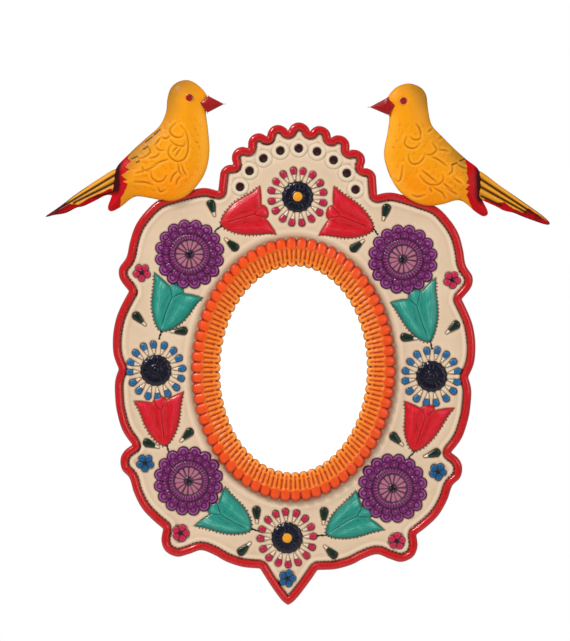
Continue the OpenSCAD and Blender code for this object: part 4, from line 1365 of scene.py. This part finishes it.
for side, bird in (("left", LEFT), ("right", RIGHT)):
    node, tail_node = f"bird_{side}", f"tail_{side}"
    body, tail = closed(bird["body"], 8), closed(bird["tail"], 6)
    beak = closed(np.repeat(np.array(bird["beak"], float), 2, 0), 3)
    eye = bird["eye"]
    face = BIRD_BACK + 0.5 + (BIRD_H - 0.9) * 0.36
    plate(f"bird_{side}_front", body, bird_height(bird), 0.75, BIRD_BACK, BIRD_PAINT, node,
          rings=[0.12, 0.4, 0.9],
          wash=0.9, skirt=0.8)
    plate(f"bird_{side}_inside", body, bowl, 1.6, BIRD_BACK - 0.6, TIN_BARE, node, rings=[0.3, 1.2], skirt=0,
          back=True)
    plate(f"beak_{side}", beak, beak_height, 0.5, face - 0.4, BEAK_PAINT, node, rings=[0.15, 0.4], skirt=2.2)
    top = dome_top(14.5)
    plate(f"eye_{side}", circle(eye, EYE_R, 40), eye_dome(eye, EYE_R, 0.8), 0.4, top - 0.15, BEAK_PAINT, node,
          skirt=1.2)
    plate(f"eye_ring_{side}", circle(eye, 3.5, 44), eye_dome(eye, 6.5, 0.35), 0.4, top - 0.3, EYE_RING, node,
          skirt=1.2)
    plate(f"tail_{side}_front", tail, tail_height(bird), 0.7, BIRD_BACK - TIN, BIRD_PAINT, tail_node,
          rings=[0.15, 0.5], wash=0.8, skirt=0.45)
    plate(f"tail_{side}_back", tail, flat_back, 1.4, BIRD_BACK - TIN - 0.45, TIN_BARE, tail_node, skirt=0,
          back=True)

# ---------------------------------------------------------------- the back: pan, solder, straps and hanger


def pan():
    """Pressed tray with rounded corners and a flat lip, a little dented."""
    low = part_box("back_pan")[1]
    lip_w, lip_h = low[0] / MM, low[2] / MM
    corner, bend = 2.6, 0.8
    deep = SHEET_BACK - 0.15
    # each: how far in from the lip's edge, and the depth from the wall
    line = [(0.0, SHEET_BACK - 0.02), (0.0, deep - 0.35), (2.0, deep - 0.4), (5.2, deep - 0.45)]
    line += [(6.8 - bend * math.cos(a), deep - 0.45 - bend * (1 - math.sin(a)))
             for a in np.linspace(1.2, 0, 3)]
    line += [(6.8 + corner * (1 - math.cos(a)), corner * (1 - math.sin(a)) + 0.02)
             for a in np.linspace(0, math.pi / 2, 7)]
    line += [(14, 0.02), (15.5, 0.18), (17, 0.3), (19, 0.3), (40, 0.3), (lip_w - 1, 0.3)]
    n = 200
    a = np.linspace(0, 2 * math.pi, n, endpoint=False)[:, None]
    inset = np.array([q[0] for q in line])[None]
    depth = np.array([q[1] for q in line])[None] + 0 * a
    squeeze = np.clip((lip_w - inset) / lip_w, 0.01, 1)
    w = lip_w - inset
    h = np.where(inset < 20, lip_h - inset, (lip_h - 19) * squeeze / squeeze[0, line.index((19, 0.3))])
    dent = 0.12 * np.sin(a * 5 + 1) * smooth(25, 60, inset)
    points = np.stack([w * np.cos(a), -(depth + dent), h * np.sin(a)], -1)
    faces = grid_faces(n, len(line))
    last = [i * len(line) + len(line) - 1 for i in range(n)]
    faces.append(last[::-1])
    return points.reshape(-1, 3), [f[::-1] for f in faces], {"tone": np.full(n * len(line), 0.5)}


def blob(middle, r, tall, squeeze=1.0, angle=0.0):
    """A frozen drop of solder on the back of the sheet."""
    n, m = 28, 9
    a = np.linspace(0, 2 * math.pi, n, endpoint=False)[:, None]
    t = np.linspace(0, 1, m)[None]
    wob = 1 + 0.12 * np.sin(a * 3 + middle[0]) + 0.08 * np.sin(a * 5 + middle[1])
    out = np.clip(1 - t, 0.02, 1) * r * wob
    rise = tall * (1 - (1 - t) ** 2.4) * (1 + 0.1 * np.sin(a * 2 + middle[0]) * t)
    flat = turned(np.stack([out * np.cos(a), squeeze * out * np.sin(a)], -1), angle)
    points = np.stack([middle[0] + flat[..., 0], -SHEET_BACK + rise, middle[1] + flat[..., 1]], -1)
    faces = grid_faces(n, m)
    return points.reshape(-1, 3), faces, {"tone": (0.35 + 0.4 * t + 0 * a).reshape(-1)}


def solder_metal():
    """Dull lead-grey solder, frosted with flux at its edges."""
    n = Nodes("solder_grey")
    grain = n.noise(1300, 4, 0.65)
    colour = n.ramp(n.math("ADD", n.math("MULTIPLY", grain, 0.4), n.math("MULTIPLY", n.field("tone"), 0.6)),
                    [(0.3, "5D5A52"), (0.5, "8D8C88"), (0.75, "B4B4B2")])
    return n.finish(colour, n.spread(grain, 0.32, 0.55), n.bump(grain, 0.00012), metallic=0.9)


def wire_metal():
    """Drawn steel wire, darkened with handling."""
    n = Nodes("steel_wire")
    lines = n.noise(1600, 3, 0.6, (0.1, 0))
    wear_and_painted_sheen = n.noise(160, 3)
    colour = n.ramp(n.math("ADD", n.math("MULTIPLY", lines, 0.5), n.math("MULTIPLY", wear_and_painted_sheen, 0.5)),
                    [(0.3, "4C4A47"), (0.55, "787672"), (0.75, "A09E9A")])
    return n.finish(colour, n.spread(wear_and_painted_sheen, 0.28, 0.5), n.bump(lines, 0.00003), metallic=1.0)


SOLDER = solder_metal()
make("pan_shell", *pan(), TIN_BARE, slot="tinplate", replaces=["back_pan"])
pan_w, pan_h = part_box("back_pan")[1][0] / MM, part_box("back_pan")[1][2] / MM
beads = [blob((pan_w * math.cos(a), pan_h * math.sin(a)), 3.9, 0.95, 0.8,
              math.degrees(a)) for a in np.radians(np.arange(30, 361, 30))]
make("pan_solder_drops", *joined(beads), SOLDER, slot="solder", replaces=["pan_solder"])
STRAPS = [((-86, 124), (-125, 185)), ((92, 124), (126, 183.5))]
beads = []
for low, high in STRAPS:
    way = np.array(high, float) - low
    way /= np.linalg.norm(way)
    angle = math.degrees(math.atan2(way[1], way[0]))
    for hand in (1, -1):
        for at in (3.5, 8.0, 12.5):
            beads.append(blob(np.array(low) + way * at + hand * 4.9 * np.array((-way[1], way[0])), 2.7, 0.85,
                              0.7, angle))
make("strap_solder_drops", *joined(beads), SOLDER, slot="solder", replaces=["strap_solder"])
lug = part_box("hanger_solder")
lug_z = (lug[0][2] + lug[1][2]) / 2 / MM
beads = [blob((x, lug_z + dz), 2.6, 0.8) for x in (-6.2, 6.2) for dz in (-1.2, 1.4)]
make("hanger_solder_drops", *joined(beads), SOLDER, slot="solder", replaces=["hanger_solder"])


def dress(node, material):
    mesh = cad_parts[node].data
    mesh.materials.clear()
    mesh.materials.append(material)


dress("mirror_glass", mirror_silver())
dress("backing_card", brown_card())
for node in ("bezel_tabs", "strap_left", "strap_right", "hanger_lug"):
    dress(node, TIN_BARE)
dress("hanger_ring", wire_metal())

# ---------------------------------------------------------------- floor, light and camera

n = Nodes("floor_pale")
grain = n.noise(40, 3)
floor_paint = n.finish(n.spread(grain, "E6E4E0", "EDEBE8"), n.spread(grain, 0.7, 0.85))
floor_mesh = bpy.data.meshes.new("floor")
floor_mesh.from_pydata([(-0.6, -0.45, -0.3), (0.6, -0.45, -0.3), (0.6, 0.35, -0.3), (-0.6, 0.35, -0.3)], [],
                       [(0, 1, 2, 3)])
floor_mesh.materials.append(floor_paint)
floor = bpy.data.objects.new("floor", floor_mesh)
bpy.context.collection.objects.link(floor)

scene = bpy.context.scene
world = bpy.data.worlds.new("studio")
world.use_nodes = True
scene.world = world
tree = world.node_tree
tree.nodes.clear()
path = tree.nodes.new("ShaderNodeLightPath")
way = tree.nodes.new("ShaderNodeTexCoord")
split = tree.nodes.new("ShaderNodeSeparateXYZ")
tree.links.new(way.outputs["Generated"], split.inputs[0])
# reflections see a studio that is dim in front of the object and brighter to the sides and above
glow = tree.nodes.new("ShaderNodeMapRange")
glow.inputs["From Min"].default_value = -1.0
glow.inputs["From Max"].default_value = -0.55
glow.inputs["To Min"].default_value = 0.02
glow.inputs["To Max"].default_value = 0.45
tree.links.new(split.outputs["Y"], glow.inputs["Value"])
strength = glow.outputs[0]
for ray, level in (("Is Diffuse Ray", 0.62), ("Is Camera Ray", 1.0)):
    pick = tree.nodes.new("ShaderNodeMix")
    tree.links.new(path.outputs[ray], pick.inputs[0])
    tree.links.new(strength, pick.inputs[2])
    pick.inputs[3].default_value = level
    strength = pick.outputs[0]
white = tree.nodes.new("ShaderNodeBackground")
white.inputs["Color"].default_value = (1, 1, 1, 1)
out = tree.nodes.new("ShaderNodeOutputWorld")
tree.links.new(strength, white.inputs["Strength"])
tree.links.new(white.outputs[0], out.inputs["Surface"])


def lamp(name, place, aim, power, size, colour):
    light = bpy.data.lights.new(name, "AREA")
    light.energy = power
    light.size = size
    light.color = colour
    piece = bpy.data.objects.new(name, light)
    piece.location = place
    piece.rotation_euler = (Vector(aim) - Vector(place)).to_track_quat("-Z", "Y").to_euler()
    bpy.context.collection.objects.link(piece)


lamp("key", (-0.95, -1.05, 1.25), (0, 0, 0.02), 17, 0.35, (1, 0.975, 0.94))
lamp("fill", (1.3, -1.5, 0.4), (0, 0, 0), 6, 0.9, (0.95, 0.97, 1))
lamp("back_light", (0.4, 1.4, 1.0), (0, 0, 0), 6, 0.8, (1, 1, 1))
# a white card that the mirror reflects towards the camera
lamp("mirror_card", (0.01, -2.6, -0.05), (0.01, 0, -0.05), 0.9, 0.46, (1, 1, 1))

camera = bpy.data.cameras.new("camera")
camera.sensor_fit = "VERTICAL"
camera.sensor_height = 36
DISTANCE = 2.0
SPAN = 0.5288
AIM_X, AIM_Z = -0.008, 0.0402
TILT = -1.35
camera.lens = 36 * DISTANCE / SPAN
camera.clip_end = 20
viewer = bpy.data.objects.new("camera", camera)
viewer.location = (AIM_X, -DISTANCE - FACE * MM, AIM_Z)
viewer.rotation_euler = (math.pi / 2, math.radians(TILT), 0)
bpy.context.collection.objects.link(viewer)
scene.camera = viewer
scene.view_settings.view_transform = "Standard"
